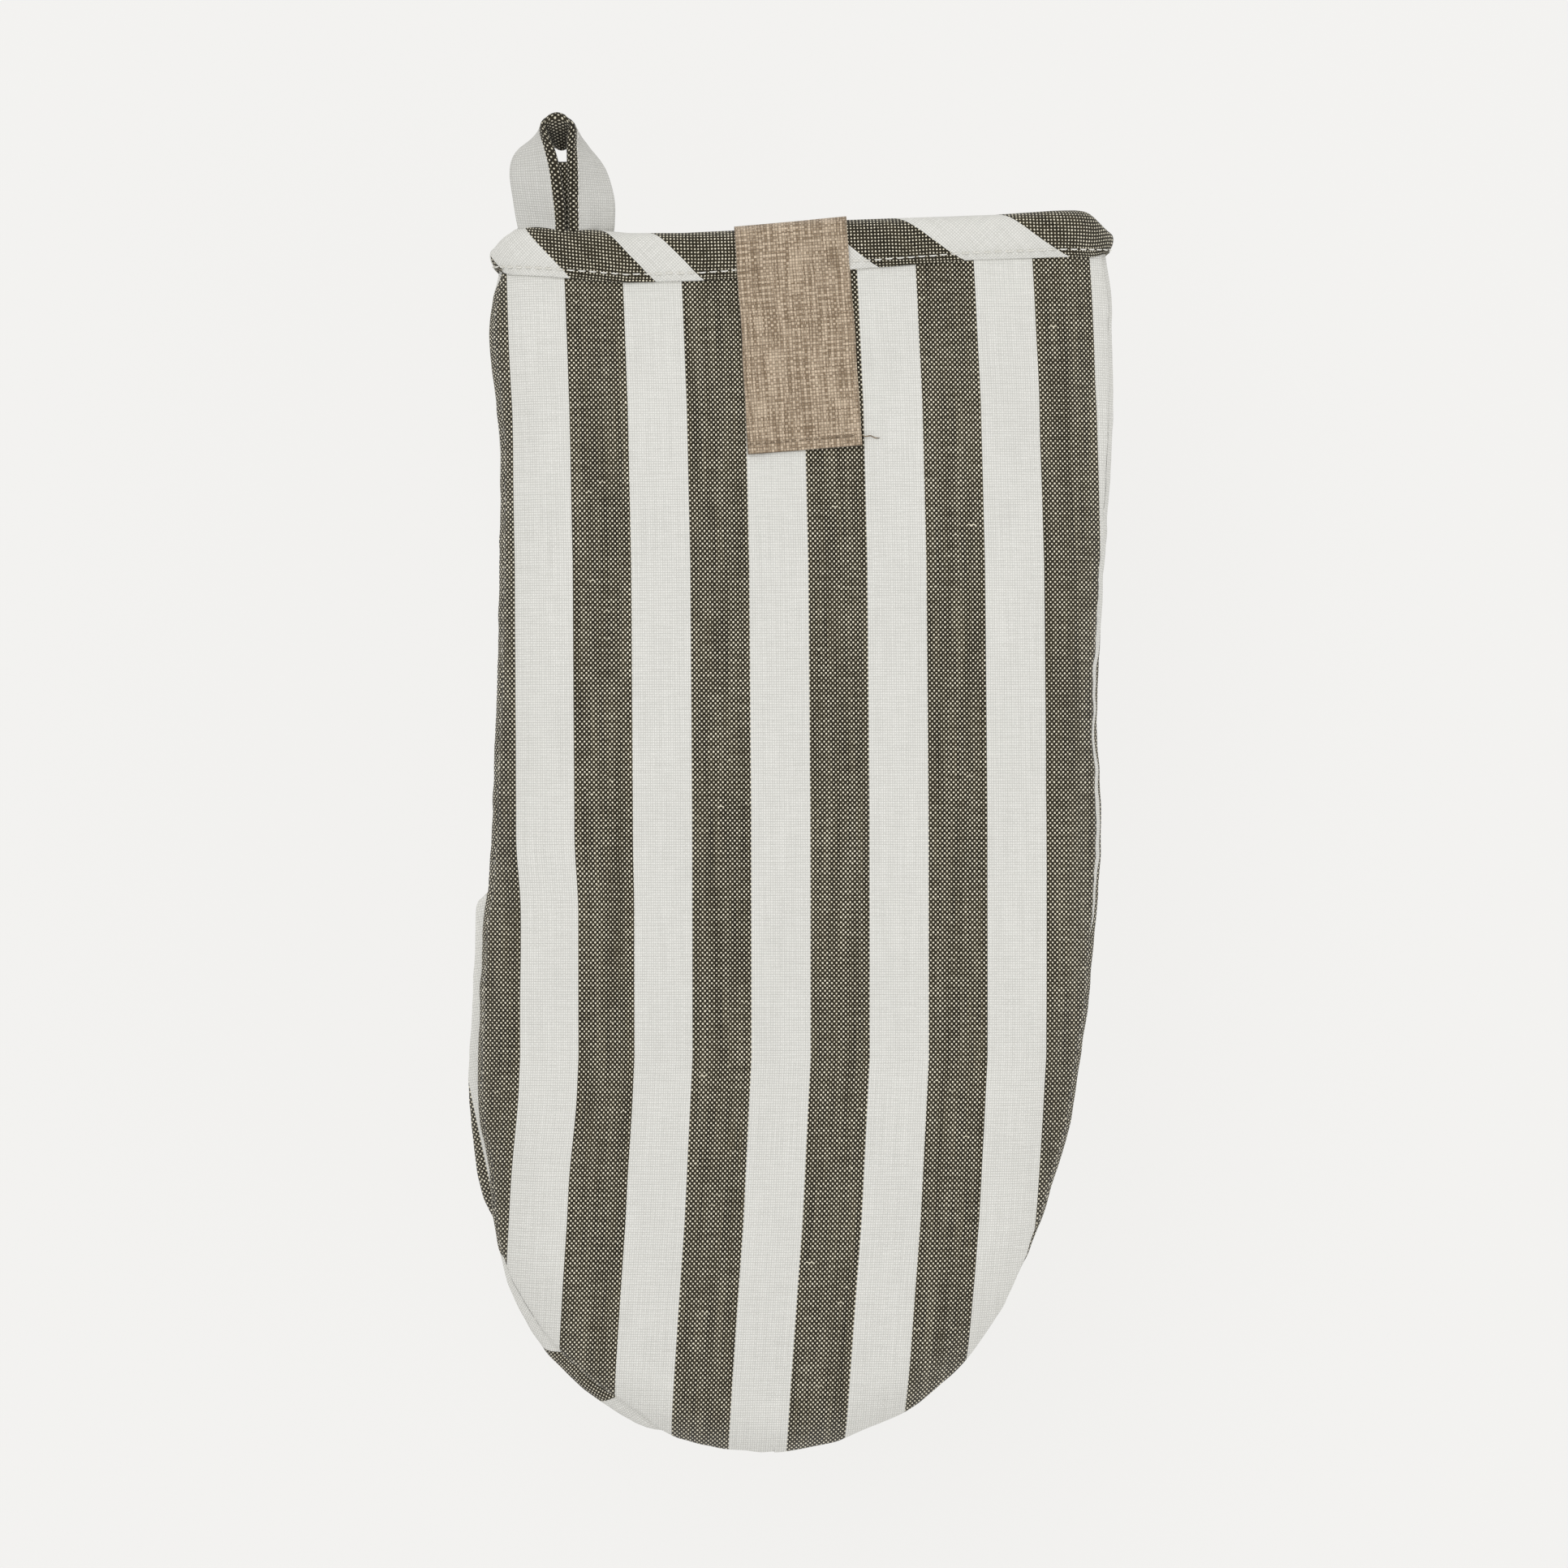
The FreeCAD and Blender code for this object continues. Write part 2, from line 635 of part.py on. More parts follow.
make_sheet()
hand = Nest("hand", hand_plan(), hand_side(), "hand_top_rounding", "hand_foot_rounding")
thumb = Nest("thumb", thumb_plan(), thumb_side(), "thumb_rounding", "thumb_rounding")
seam = above_seam()
upper = extrude("upper_half", seam)
trim = cuff_slab("cuff_trim", "- 400", "+ 0")
hand_pieces(hand, thumb, upper, trim)
thumb_pieces(thumb)
seam_threads(hand, seam, trim)
cuff_pieces(hand, upper)
keep(hanging_loop(), "hanging_loop")
doc.recompute()
write_parts()
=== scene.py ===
"""Looks of the oven mitt: striped cotton over wadding, a bias-bound cuff, a linen label and a hanging loop.

Lengths are in metres, in the frame of the CAD part: +X across the hand, +Y towards the cuff, +Z up.
"""

import bmesh
import bpy
import numpy as np
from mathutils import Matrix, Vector, noise
from mathutils.bvhtree import BVHTree
from mathutils.kdtree import KDTree


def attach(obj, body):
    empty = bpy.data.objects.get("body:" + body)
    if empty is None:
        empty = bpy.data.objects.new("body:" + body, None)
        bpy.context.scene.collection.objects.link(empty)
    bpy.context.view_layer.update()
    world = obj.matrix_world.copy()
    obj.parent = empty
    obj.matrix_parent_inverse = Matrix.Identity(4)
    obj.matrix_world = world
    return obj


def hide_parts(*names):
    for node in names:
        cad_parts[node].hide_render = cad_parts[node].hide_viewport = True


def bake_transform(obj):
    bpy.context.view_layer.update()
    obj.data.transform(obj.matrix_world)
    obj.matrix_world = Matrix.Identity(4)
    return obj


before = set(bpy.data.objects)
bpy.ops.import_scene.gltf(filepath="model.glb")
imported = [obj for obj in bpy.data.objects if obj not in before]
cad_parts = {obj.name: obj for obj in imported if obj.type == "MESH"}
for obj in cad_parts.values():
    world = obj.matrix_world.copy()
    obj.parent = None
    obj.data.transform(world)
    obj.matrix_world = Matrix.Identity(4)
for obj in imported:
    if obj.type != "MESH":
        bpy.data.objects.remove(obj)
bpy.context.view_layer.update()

MM = 0.001
STRIPE = 15.45 * MM
# Distances between threads: across and along the striped cotton, and both ways in the linen.
WARP, WEFT, LINEN = 0.603 * MM, 0.665 * MM, 0.78 * MM
# Thickness of cloth and wadding together, from the outer surface to the lining.
WALL, THUMB_WALL = 5.2 * MM, 4.6 * MM
# Points closer than this are one point.
SAME = 2e-6


# ---- lines and noise


def smooth_line(points, count):
    """Points evenly spaced along a Catmull-Rom curve through the given ones."""
    p = np.array(points, float)
    p = np.vstack([2 * p[0] - p[1], p, 2 * p[-1] - p[-2]])
    t = np.linspace(0, 1, 24, endpoint=False)[:, None]
    spans = []
    for a, b, c, d in zip(p, p[1:], p[2:], p[3:]):
        bend = (2 * a - 5 * b + 4 * c - d) * t**2 + (3 * b - a - 3 * c + d) * t**3
        spans.append(0.5 * (2 * b + (c - a) * t + bend))
    curve = np.vstack([*spans, p[-2:-1]])
    run = length_along(curve)
    at = np.linspace(0, run[-1], count)
    return np.stack([np.interp(at, run, curve[:, k]) for k in range(p.shape[1])], axis=1)


def length_along(points):
    steps = np.linalg.norm(np.diff(points, axis=0), axis=-1)
    return np.concatenate([np.zeros((1, *steps.shape[1:])), np.cumsum(steps, axis=0)])


def smoothstep(x, low, high):
    t = np.clip((x - low) / (high - low), 0, 1)
    return t * t * (3 - 2 * t)


def ripple(x, y, size, seed=0.0):
    """Smooth noise in about -0.7..0.7 over a flat place, with features of the given size."""
    x, y = np.broadcast_arrays(x, y)
    flat = [noise.noise(Vector((a / size, b / size, seed))) for a, b in zip(np.ravel(x), np.ravel(y))]
    return np.reshape(flat, np.shape(x))


def unit(v):
    return v / np.maximum(np.linalg.norm(v, axis=-1, keepdims=True), 1e-12)


# ---- padded forms


RIM_POINTS = 18
ROW_STEP = 1.06 * MM
# How far the seam's groove and the small folds beside it reach, and the sizes of those folds.
PINCH_REACH, PUCKER_REACH = 1.7 * MM, 6.5 * MM
PUCKER, FINE_PUCKER = 8.5 * MM, 4.2 * MM
# Sizes of the unevenness of the whole surface.
SWAY, FINE_SWAY = 33 * MM, 13 * MM


class Form:
    """A padded form that lies flat: its sides from above, and the heights of its top, seam and underside.

    rim is how far the rounded edge reaches inwards, and crown how much higher the middle is than the edge.
    slope is 0 where the upper half starts upright at the seam, and more where it starts at a slant.
    seam_turn gives the angle of the seam round the edge: 0 on the widest line, positive above it.
    tip gives where, how strongly and how gradually the middle line is pulled back from the tip.
    soften is the number of rows over which the edge's direction is evened out at corners.
    """

    def __init__(self, left, right, rows, heights, rim, crown, slope, seam_turn, tip, soften=0):
        self.top, self.seam, self.under = heights
        self.rim, self.crown, self.slope, self.seam_turn = rim, crown, slope, seam_turn
        line = smooth_line(np.array(left + right[-2::-1]) * MM, 2 * rows - 1)
        along = unit(np.gradient(line, axis=0))
        normal = np.stack([along[:, 1], -along[:, 0]], axis=1)
        if soften:
            kernel = np.hanning(2 * soften + 3)[1:-1]
            wide = np.pad(normal, ((soften, soften), (0, 0)), "edge")
            normal = unit(np.stack([np.convolve(column, kernel, "valid") for column in wide.T], axis=1))
        self.sides = [line[:rows], line[::-1][:rows]]
        self.normals = [normal[:rows], normal[::-1][:rows]]
        self.middle = (self.sides[0] + self.sides[1]) / 2
        start, pull, span = tip
        beyond = np.maximum(start - self.middle[:, 1], 0)
        self.middle[:, 1] += pull * beyond * smoothstep(beyond, 0, span)
        self.outline = np.vstack(self.sides)[::4]

    def from_edge(self, places):
        away = places.reshape(-1, 1, 2) - self.outline[None]
        return np.sqrt((away**2).sum(axis=2).min(axis=1)).reshape(places.shape[:-1])

    def half(self, upward, inset=0.0, wall=0.0, across=25, pinch=0.0, pucker=0.0, wave=0.0):
        """The upper or lower half as rows of points from seam to seam, and their places in the pattern.

        inset and wall move the surface inwards, for a lining. pinch is the depth of the groove at the seam,
        pucker the depth of the folds beside it, and wave that of the whole surface's unevenness.
        """
        share = np.linspace(0, 1, RIM_POINTS) ** 1.5
        width = self.rim - 0.5 * inset
        points, flat = [], []
        for side, normal, seed in zip(self.sides, self.normals, (3.1, 7.7)):
            edge = side - inset * normal
            inner = edge - width * normal
            start = self.seam_turn(side)[:, None]
            angle = start + ((np.pi / 2 if upward else -np.pi / 2) - start) * share
            slanted = self.slope + angle * (1 - self.slope * 2 / np.pi)
            sine, peak = np.sin(angle), np.sin(self.slope)
            sine = np.where(sine > 0, np.sin(slanted) - peak, sine)
            sine = np.where(sine > 0, sine / (1 - peak), sine)
            inward = width * (1 - np.where(sine > 0, np.cos(slanted) / np.cos(self.slope), np.cos(angle)))
            core = self.seam(edge)[:, None]
            above = self.top(inner)[:, None] - wall - self.crown - core
            below = core - self.under(inner)[:, None] - wall
            z = core + np.where(sine > 0, above, below) * sine
            run = length_along(np.stack([inward.T, z.T], axis=-1)).T
            heading = unit(np.stack([width - inward, core - z], axis=-1) + 1e-9)
            along = np.arange(len(side))[:, None] * ROW_STEP + 0 * run
            folds = ripple(along, run, PUCKER, seed) + 0.6 * ripple(along, run, FINE_PUCKER, seed + 5)
            groove = pinch * np.exp(-((run / PINCH_REACH) ** 2))
            depth = groove + pucker * folds * np.exp(-run / PUCKER_REACH)
            inward, z = inward + depth * heading[..., 0], z + depth * heading[..., 1]
            rim = np.dstack([edge[:, None] - normal[:, None] * inward[..., None], z])
            # The pattern follows all of the rim's rise below, but little above, where cloth is eased in.
            rise = (0.25 if upward else 1.0) * z
            spread = length_along(np.stack([inward.T, rise.T], axis=-1)).T
            rim_flat = inner[:, None] + normal[:, None] * (spread[:, -1:] - spread)[..., None]
            t = np.linspace(0, 1, across)[None, 1:, None]
            inside = inner[:, None] * (1 - t) + self.middle[:, None] * t
            low = self.crown * (1 - smoothstep(self.from_edge(inside), self.rim, 4.2 * self.rim))
            level = self.top(inside) - wall - low if upward else self.under(inside) + wall
            points.append(np.concatenate([rim, np.dstack([inside, level])], axis=1))
            flat.append(np.concatenate([rim_flat, inside], axis=1))
        points, flat = (np.concatenate([a, b[:, ::-1][:, 1:]], axis=1) for a, b in (points, flat))
        if wave:
            x, y = points[..., 0], points[..., 1]
            points[..., 2] += wave * (ripple(x, y, SWAY, 1.3) + 0.4 * ripple(x, y, FINE_SWAY, 8.3))
        return points, flat


def lean(y):
    """How far the stripes stray sideways from straight lines, along the hand."""
    at = [-180, -157, -135, -114, -71, -7, 58, 100, 128, 140, 160]
    off = [-5.9, -4.5, -3.0, -1.5, 0.6, 0.5, 0.0, -1.0, -2.2, -2.8, -3.4]
    return np.interp(y, np.array(at) * MM, np.array(off) * MM)


def arched(p, high, towards_cuff, towards_tip):
    """A height that falls from its highest place in two long curves, given by twice their radii."""
    away = p[..., 1] + 0.040
    return high - away**2 / np.where(away > 0, towards_cuff, towards_tip)


def hand_top(p):
    return arched(p, 0.038, 2.996, 1.20)


def hand_seam(p):
    return arched(p, 0.0285, 2.42, 1.052)


def hand_under(p):
    """The palm lies on the ground at the wrist and fingertips, and is lifted over the thumb in between."""
    y = p[..., 1]
    arch = (1 - smoothstep(y, -0.046, -0.016)) * smoothstep(y, -0.160, -0.122)
    return 0.0168 * arch + 0.0018 * smoothstep(y, 0.112, 0.132)


def hand_seam_turn(p):
    """The seam climbs over the edge left of the fingertips, where a little of the palm shows from above."""
    left = 1 - smoothstep(p[..., 0], -0.044, -0.030)
    return 0.03 + smoothstep(-p[..., 1], 0.118, 0.160) * (0.52 * left - 0.22)


HAND = Form(
    left=[(-77.8, 138.5), (-78.7, 134), (-79.9, 128), (-80.7, 120), (-79.8, 110), (-78.6, 99), (-77.8, 88),
          (-77.7, 66), (-78.0, 40), (-78.7, 16), (-79.5, -7), (-80.4, -24), (-81.7, -33), (-82.7, -46),
          (-83.2, -62), (-83.7, -78), (-83.0, -88.5), (-81.9, -94.5), (-80.9, -102), (-80.2, -110.5),
          (-79.1, -119.5), (-76.9, -128.5), (-73.9, -135.8), (-67.8, -146.5), (-59.0, -156.6),
          (-49.4, -164.6), (-38.5, -170.5), (-24.0, -175.4), (-6.0, -177.3)],
    right=[(83.0, 143.5), (83.7, 138), (84.8, 130), (85.0, 121), (85.0, 100), (84.2, 80), (82.7, 58),
           (81.5, 36), (80.7, 16), (81.7, -6), (81.0, -26), (80.0, -40), (78.6, -56), (76.5, -72),
           (73.6, -91), (70.2, -103), (66.6, -115), (62.0, -127), (56.6, -138), (49.8, -148.3),
           (41.0, -157.8), (31.2, -165.4), (19.6, -170.9), (8.0, -175.4), (-6.0, -177.3)],
    rows=321,
    heights=(hand_top, hand_seam, hand_under),
    rim=15.5 * MM,
    crown=2.0 * MM,
    slope=0.55,
    seam_turn=hand_seam_turn,
    tip=(-0.085, 0.42, 0.09),
)

THUMB = Form(
    left=[(-76.0, -14), (-79.4, -25), (-82.8, -29.2), (-84.6, -31.6), (-85.0, -40), (-85.6, -54),
          (-86.1, -64), (-86.7, -73), (-86.8, -79), (-86.0, -90), (-84.7, -101), (-82.3, -111),
          (-76.6, -119.4), (-66.5, -125.2), (-54, -127.4)],
    right=[(-27.5, -14), (-24.6, -26), (-23.4, -34), (-22.8, -46), (-22.6, -60), (-22.6, -75), (-22.8, -90),
           (-24.2, -102), (-28.4, -112), (-34.5, -119.6), (-41.5, -124.6), (-47.5, -126.8), (-54, -127.4)],
    rows=121,
    heights=(
        lambda p: 0.0160 - 0.0025 * smoothstep(-p[..., 1], 0.100, 0.127),
        lambda p: 0.0078 + 0 * p[..., 1],
        lambda p: 0.0003 + 0 * p[..., 1],
    ),
    rim=9.0 * MM,
    crown=1.0 * MM,
    slope=0.0,
    seam_turn=lambda p: 0.02 + 0 * p[..., 1],
    tip=(-0.085, 0.5, 0.045),
    soften=14,
)


# ---- meshes


def link(name, mesh):
    mesh.polygons.foreach_set("use_smooth", [True] * len(mesh.polygons))
    piece = bpy.data.objects.new(name, mesh)
    bpy.context.scene.collection.objects.link(piece)
    return piece


def grid_faces(rows, columns, around=False):
    """Corner indices of a grid's quads, the last column joined to the first if it goes around."""
    index = np.arange(rows * columns).reshape(rows, columns)
    if around:
        index = np.hstack([index, index[:, :1]])
    corners = (index[:-1, :-1], index[:-1, 1:], index[1:, 1:], index[1:, :-1])
    return np.stack([c.ravel() for c in corners], axis=1)


def grid_mesh(name, points, maps, around=False, flip=False):
    """A mesh of quads from rows of points. maps gives the values of each UV map, in metres.

    A grid that goes around has one column more in its maps than in its points. Rows from the cuff to the
    tip, with points from left to right, face down, and flip turns them over.
    """
    rows, columns = points.shape[:2]
    faces = grid_faces(rows, columns, around)
    places = grid_faces(rows, columns + around)
    if flip:
        faces, places = faces[:, ::-1], places[:, ::-1]
    mesh = bpy.data.meshes.new(name)
    mesh.from_pydata(points.reshape(-1, 3).tolist(), [], faces.tolist())
    for title, values in maps.items():
        layer = mesh.uv_layers.new(name=title)
        layer.data.foreach_set("uv", values.reshape(-1, 2)[places].astype(np.float32).ravel())
    merged = bmesh.new()
    merged.from_mesh(mesh)
    bmesh.ops.remove_doubles(merged, verts=merged.verts, dist=SAME)
    bmesh.ops.dissolve_degenerate(merged, edges=merged.edges, dist=1e-7)
    merged.to_mesh(mesh)
    merged.free()
    return link(name, mesh)


def joined(name, upper, lower, inwards=False):
    """One mesh from two halves that meet at the seam. A lining faces inwards, towards the hand."""
    parts = [grid_mesh(name, *upper, flip=not inwards), grid_mesh(name, *lower, flip=inwards)]
    both = bmesh.new()
    for part in parts:
        both.from_mesh(part.data)
    mesh = parts[0].data
    bmesh.ops.remove_doubles(both, verts=both.verts, dist=SAME)
    both.to_mesh(mesh)
    both.free()
    bpy.data.objects.remove(parts[1])
    mesh.polygons.foreach_set("use_smooth", [True] * len(mesh.polygons))
    parts[0].name = name
    return parts[0]


def thickened(piece, thickness):
    solid = piece.modifiers.new("thickness", "SOLIDIFY")
    solid.thickness, solid.offset = thickness, 0


# Pitch, length, thickness and lift of the stitches in a seam. They lie sunk in its groove.
SEAM_STITCH = (3.1 * MM, 2.2 * MM, 0.4 * MM, -0.4)


def stitched(name, rows):
    """Stitches as short arched threads. Each row is (points, facing, pitch, length, thickness, lift).

    lift is the height of a stitch's middle above the row, as a share of its thickness. Its ends dive down.
    """
    vertices, faces = [], []
    sides, dive = 6, 1.15
    ring = np.linspace(0, 2 * np.pi, sides, endpoint=False)
    stations = np.array([-1, -0.86, -0.5, 0, 0.5, 0.86, 1.0])
    girth = np.array([0.25, 0.75, 1.0, 1.0, 1.0, 0.75, 0.25])
    for points, facing, pitch, length, thickness, lift in rows:
        run = length_along(points)
        ends = np.arange(pitch / 2, run[-1] - length / 2, pitch)
        for number, centre in enumerate(ends):
            jog = noise.noise(Vector((centre * 900, number * 0.37, 4.2)))
            at = centre + stations * length / 2 + jog * 0.2 * MM
            place = np.stack([np.interp(at, run, points[:, k]) for k in range(3)], axis=1)
            up = unit(np.stack([np.interp(at, run, facing[:, k]) for k in range(3)], axis=1))
            along = unit(np.gradient(place, axis=0))
            aside = unit(np.cross(along, up))
            rise = thickness * (lift - dive * stations**4)
            place = place + up * rise[:, None] + aside * jog * 0.15 * MM
            size = (thickness / 2 * girth)[:, None, None]
            spokes = aside[:, None] * np.cos(ring)[:, None] + up[:, None] * np.sin(ring)[:, None]
            corners = grid_faces(len(stations), sides, True)[:, ::-1]
            faces.append(corners + len(vertices) * len(stations) * sides)
            vertices.append((place[:, None] + size * spokes).reshape(-1, 3))
    mesh = bpy.data.meshes.new(name)
    mesh.from_pydata(np.vstack(vertices).tolist(), [], np.vstack(faces).tolist())
    return link(name, mesh)


# ---- materials


class Nodes:
    """A principled material and shorthands for its nodes."""

    def __init__(self, name, roughness=0.9, sheen=0.15, specular=0.2):
        self.material = bpy.data.materials.new(name)
        self.material.use_nodes = True
        self.tree = self.material.node_tree
        self.shader = self.tree.nodes["Principled BSDF"]
        self.look("Roughness", roughness)
        self.look("Sheen Weight", sheen)
        self.look("Sheen Roughness", 0.5)
        self.look("Specular IOR Level", specular)

    def new(self, kind):
        return self.tree.nodes.new("ShaderNode" + kind)

    def link(self, value, socket):
        if isinstance(value, bpy.types.NodeSocket):
            self.tree.links.new(value, socket)
        elif value is not None:
            socket.default_value = value

    def look(self, title, value):
        self.link(value, self.shader.inputs[title])

    def math(self, operation, a, b=None, c=None, clamp=False):
        node = self.new("Math")
        node.operation, node.use_clamp = operation, clamp
        for value, socket in zip((a, b, c), node.inputs):
            self.link(value, socket)
        return node.outputs[0]

    def uv(self, title):
        node = self.new("UVMap")
        node.uv_map = title
        split = self.new("SeparateXYZ")
        self.tree.links.new(node.outputs[0], split.inputs[0])
        return split.outputs[0], split.outputs[1]

    def vector(self, x, y, z=0.0):
        node = self.new("CombineXYZ")
        for value, socket in zip((x, y, z), node.inputs):
            self.link(value, socket)
        return node.outputs[0]

    def stretched(self, u, v, across, along):
        """A place scaled so that noise of scale 1 has features of the given sizes, in millimetres."""
        return self.vector(self.math("MULTIPLY", u, 1000 / across), self.math("MULTIPLY", v, 1000 / along))

    def noise(self, vector, scale=1.0, detail=2.0, roughness=0.5):
        node = self.new("TexNoise")
        self.link(vector, node.inputs["Vector"])
        node.inputs["Scale"].default_value = scale
        node.inputs["Detail"].default_value = detail
        node.inputs["Roughness"].default_value = roughness
        return node.outputs["Fac"]

    def mix(self, factor, a, b):
        node = self.new("Mix")
        node.data_type = "RGBA"
        self.link(factor, node.inputs["Factor"])
        for value, name in ((a, "A"), (b, "B")):
            socket = next(s for s in node.inputs if s.name == name and s.type == "RGBA")
            self.link((*value, 1) if isinstance(value, tuple) else value, socket)
        return next(s for s in node.outputs if s.type == "RGBA")

    def scaled(self, colour, factor):
        node = self.new("VectorMath")
        node.operation = "SCALE"
        self.link(colour, node.inputs[0])
        self.link(factor, node.inputs["Scale"])
        return node.outputs[0]

    def ramp(self, value, low, high, to_low=0.0, to_high=1.0):
        node = self.new("MapRange")
        node.interpolation_type = "SMOOTHSTEP"
        names = ("Value", "From Min", "From Max", "To Min", "To Max")
        for name, number in zip(names, (value, low, high, to_low, to_high)):
            self.link(number, node.inputs[name])
        return node.outputs[0]

    def bump(self, height, distance, strength=1.0):
        node = self.new("Bump")
        node.inputs["Strength"].default_value = strength
        node.inputs["Distance"].default_value = distance
        self.link(height, node.inputs["Height"])
        self.look("Normal", node.outputs[0])

    def between(self, value, spread, colours):
        """A colour between two, from a noise that is used over the middle part of its range."""
        return self.mix(self.ramp(value, 0.5 - spread, 0.5 + spread), *colours)


def weave(n, u, v, warp, weft, waver):
    """Plain weave from the place in the flat pattern: above 0 where the warp is on top, not the weft."""
    sway_u = n.math("MULTIPLY_ADD", n.noise(n.stretched(u, v, 1.4, 9)), 2 * waver, -waver)
    sway_v = n.math("MULTIPLY_ADD", n.noise(n.stretched(u, v, 9, 1.4)), 2 * waver, -waver)
    across = n.math("MULTIPLY", n.math("ADD", u, sway_u), np.pi / warp)
    along = n.math("MULTIPLY", n.math("ADD", v, sway_v), np.pi / weft)
    return n.math("MULTIPLY", n.math("SINE", across), n.math("SINE", along))


WHITE = ((0.70, 0.695, 0.655), (0.79, 0.785, 0.745))
DARK = ((0.012, 0.009, 0.004), (0.052, 0.043, 0.025))
DOTS = ((0.58, 0.535, 0.41), (0.86, 0.81, 0.65))


def striped_cloth(name, dark_part, tone=1.0, fewer_dots=0.0):
    """The cotton: dark warp in the stripes, crossed by white weft that shows as rows of small dots."""
    n = Nodes(name)
    u, v = n.uv("Flat")
    dark = dark_part(n, u)
    over = weave(n, u, v, WARP, WEFT, 0.10 * MM)
    warp_tone = n.noise(n.stretched(u, v, 0.62, 26), 1.0, 2.0, 0.6)
    weft_tone = n.noise(n.stretched(u, v, 7, 0.68), 1.0, 2.0, 0.6)
    streak = n.noise(n.stretched(u, v, 3.2, 60), 1.0, 2.0, 0.55)
    slub = n.ramp(n.noise(n.stretched(u, v, 5, 0.8), 1.0, 1.0), 0.71, 0.77)
    bias = n.math("MULTIPLY_ADD", streak, 0.60, -0.71)
    bias = n.math("MULTIPLY_ADD", weft_tone, 0.50, n.math("SUBTRACT", bias, 0.315 + fewer_dots))
    bias = n.math("MULTIPLY", dark, n.math("ADD", bias, n.math("MULTIPLY", slub, 0.5)))
    on_top = n.ramp(n.math("SUBTRACT", over, bias), -0.10, 0.16)
    warp_colour = n.mix(dark, n.between(warp_tone, 0.2, WHITE), n.mix(n.ramp(warp_tone, 0.30, 0.75), *DARK))
    weft_colour = n.mix(dark, n.between(weft_tone, 0.2, WHITE), n.between(weft_tone, 0.2, DOTS))
    cloth = n.mix(on_top, weft_colour, warp_colour)
    height = n.math("ABSOLUTE", over)
    # The grooves between the threads are darkened: painted shade.
    thread_gap_shade = n.math("MULTIPLY_ADD", n.math("POWER", height, 0.30), 0.34, 0.71)
    # tone scales the whole colour; a tone below 1 is painted shade.
    cloud = n.math("MULTIPLY_ADD", n.noise(n.stretched(u, v, 22, 30), 1.0, 3.0), 0.08 * tone, 0.96 * tone)
    n.look("Base Color", n.scaled(cloth, n.math("MULTIPLY", thread_gap_shade, cloud)))
    n.look("Roughness", n.ramp(warp_tone, 0.2, 0.8, 0.84, 0.95))
    fuzz = n.noise(n.stretched(u, v, 0.35, 0.35))
    n.bump(n.math("MULTIPLY_ADD", fuzz, 0.35, n.math("POWER", height, 0.6)), 0.00018, 0.7)
    return n.material


def even_stripes(n, u):
    """1 in every second stripe, with edges one thread wide."""
    phase = n.math("FRACT", n.math("DIVIDE", u, 2 * STRIPE))
    edge = WARP / (4 * STRIPE)
    return n.math("SUBTRACT", n.ramp(phase, 0.0, edge), n.ramp(phase, 0.5, 0.5 + edge))


def steps(edges, first_dark, low, high, title):
    """Dark and white by turns between the given edges, read from the x of another UV map."""

    def dark_part(n, u):
        place = n.ramp(n.uv(title)[0], low, high)
        place.node.interpolation_type = "LINEAR"
        node = n.new("ValToRGB")
        ramp = node.color_ramp
        ramp.interpolation = "CONSTANT"
        inside = [(e - low) / (high - low) for e in edges]
        for at in inside[1:]:
            ramp.elements.new(at)
        for number, element in enumerate(ramp.elements):
            dark = first_dark ^ (number % 2 == 1)
            element.color = (dark, dark, dark, 1)
        for element, at in zip(ramp.elements, [0.0, *inside]):
            element.position = at
        n.link(place, node.inputs[0])
        return node.outputs[0]

    return dark_part


def plain_cloth(name, colours, warp, weft, thread_gap_shade, tone):
    """Undyed plain-woven cloth, between two colours from thread to thread."""
    n = Nodes(name)
    u, v = n.uv("Flat")
    over = weave(n, u, v, warp, weft, 0.12 * MM)
    warp_tone = n.noise(n.stretched(u, v, 1000 * warp, 14), 1.0, 2.0, 0.6)
    weft_tone = n.noise(n.stretched(u, v, 10, 1000 * weft), 1.0, 2.0, 0.6)
    up = n.ramp(over, -0.10, 0.10)
    thread = n.mix(up, n.between(weft_tone, 0.2, colours), n.between(warp_tone, 0.1, colours))
    height = n.math("ABSOLUTE", over)
    # The grooves between the threads are darkened, by the amount the parameter gives: painted shade.
    groove_shade = n.math("MULTIPLY_ADD", n.math("POWER", height, 0.4), thread_gap_shade, 1.02 - thread_gap_shade)
    cloud = n.math("MULTIPLY_ADD", n.noise(n.stretched(u, v, 9, 14), 1.0, 3.0), tone, 1 - tone / 2)
    n.look("Base Color", n.scaled(thread, n.math("MULTIPLY", groove_shade, cloud)))
    fuzz = n.noise(n.stretched(u, v, 0.3, 0.3))
    n.bump(n.math("MULTIPLY_ADD", fuzz, 0.4, n.math("POWER", height, 0.6)), 0.0002, 0.8)
    return n.material


def thread_material(name, colours):
    """Twisted sewing thread."""
    n = Nodes(name, 0.75, 0.2, 0.3)
    place = n.new("TexCoord").outputs["Object"]
    twist = n.noise(place, 2600)
    n.look("Base Color", n.between(twist, 0.15, colours))
    n.bump(twist, 0.00008, 0.7)
    return n.material


def finish(piece, material, slot, body, *nodes):
    """Gives a piece its material, the body or the bend that it follows, and hides its CAD nodes. The slot
    is not used.
    """
    piece.data.materials.clear()
    piece.data.materials.append(material)
    if isinstance(body, str):
        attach(piece, body)
    else:
        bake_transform(piece)
    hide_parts(*nodes)


# ---- filling out the pad by cloth simulation


VOXEL = 5.0 * MM
LAST_FRAME = 20
LARGEST_MOVE = 2.4 * MM


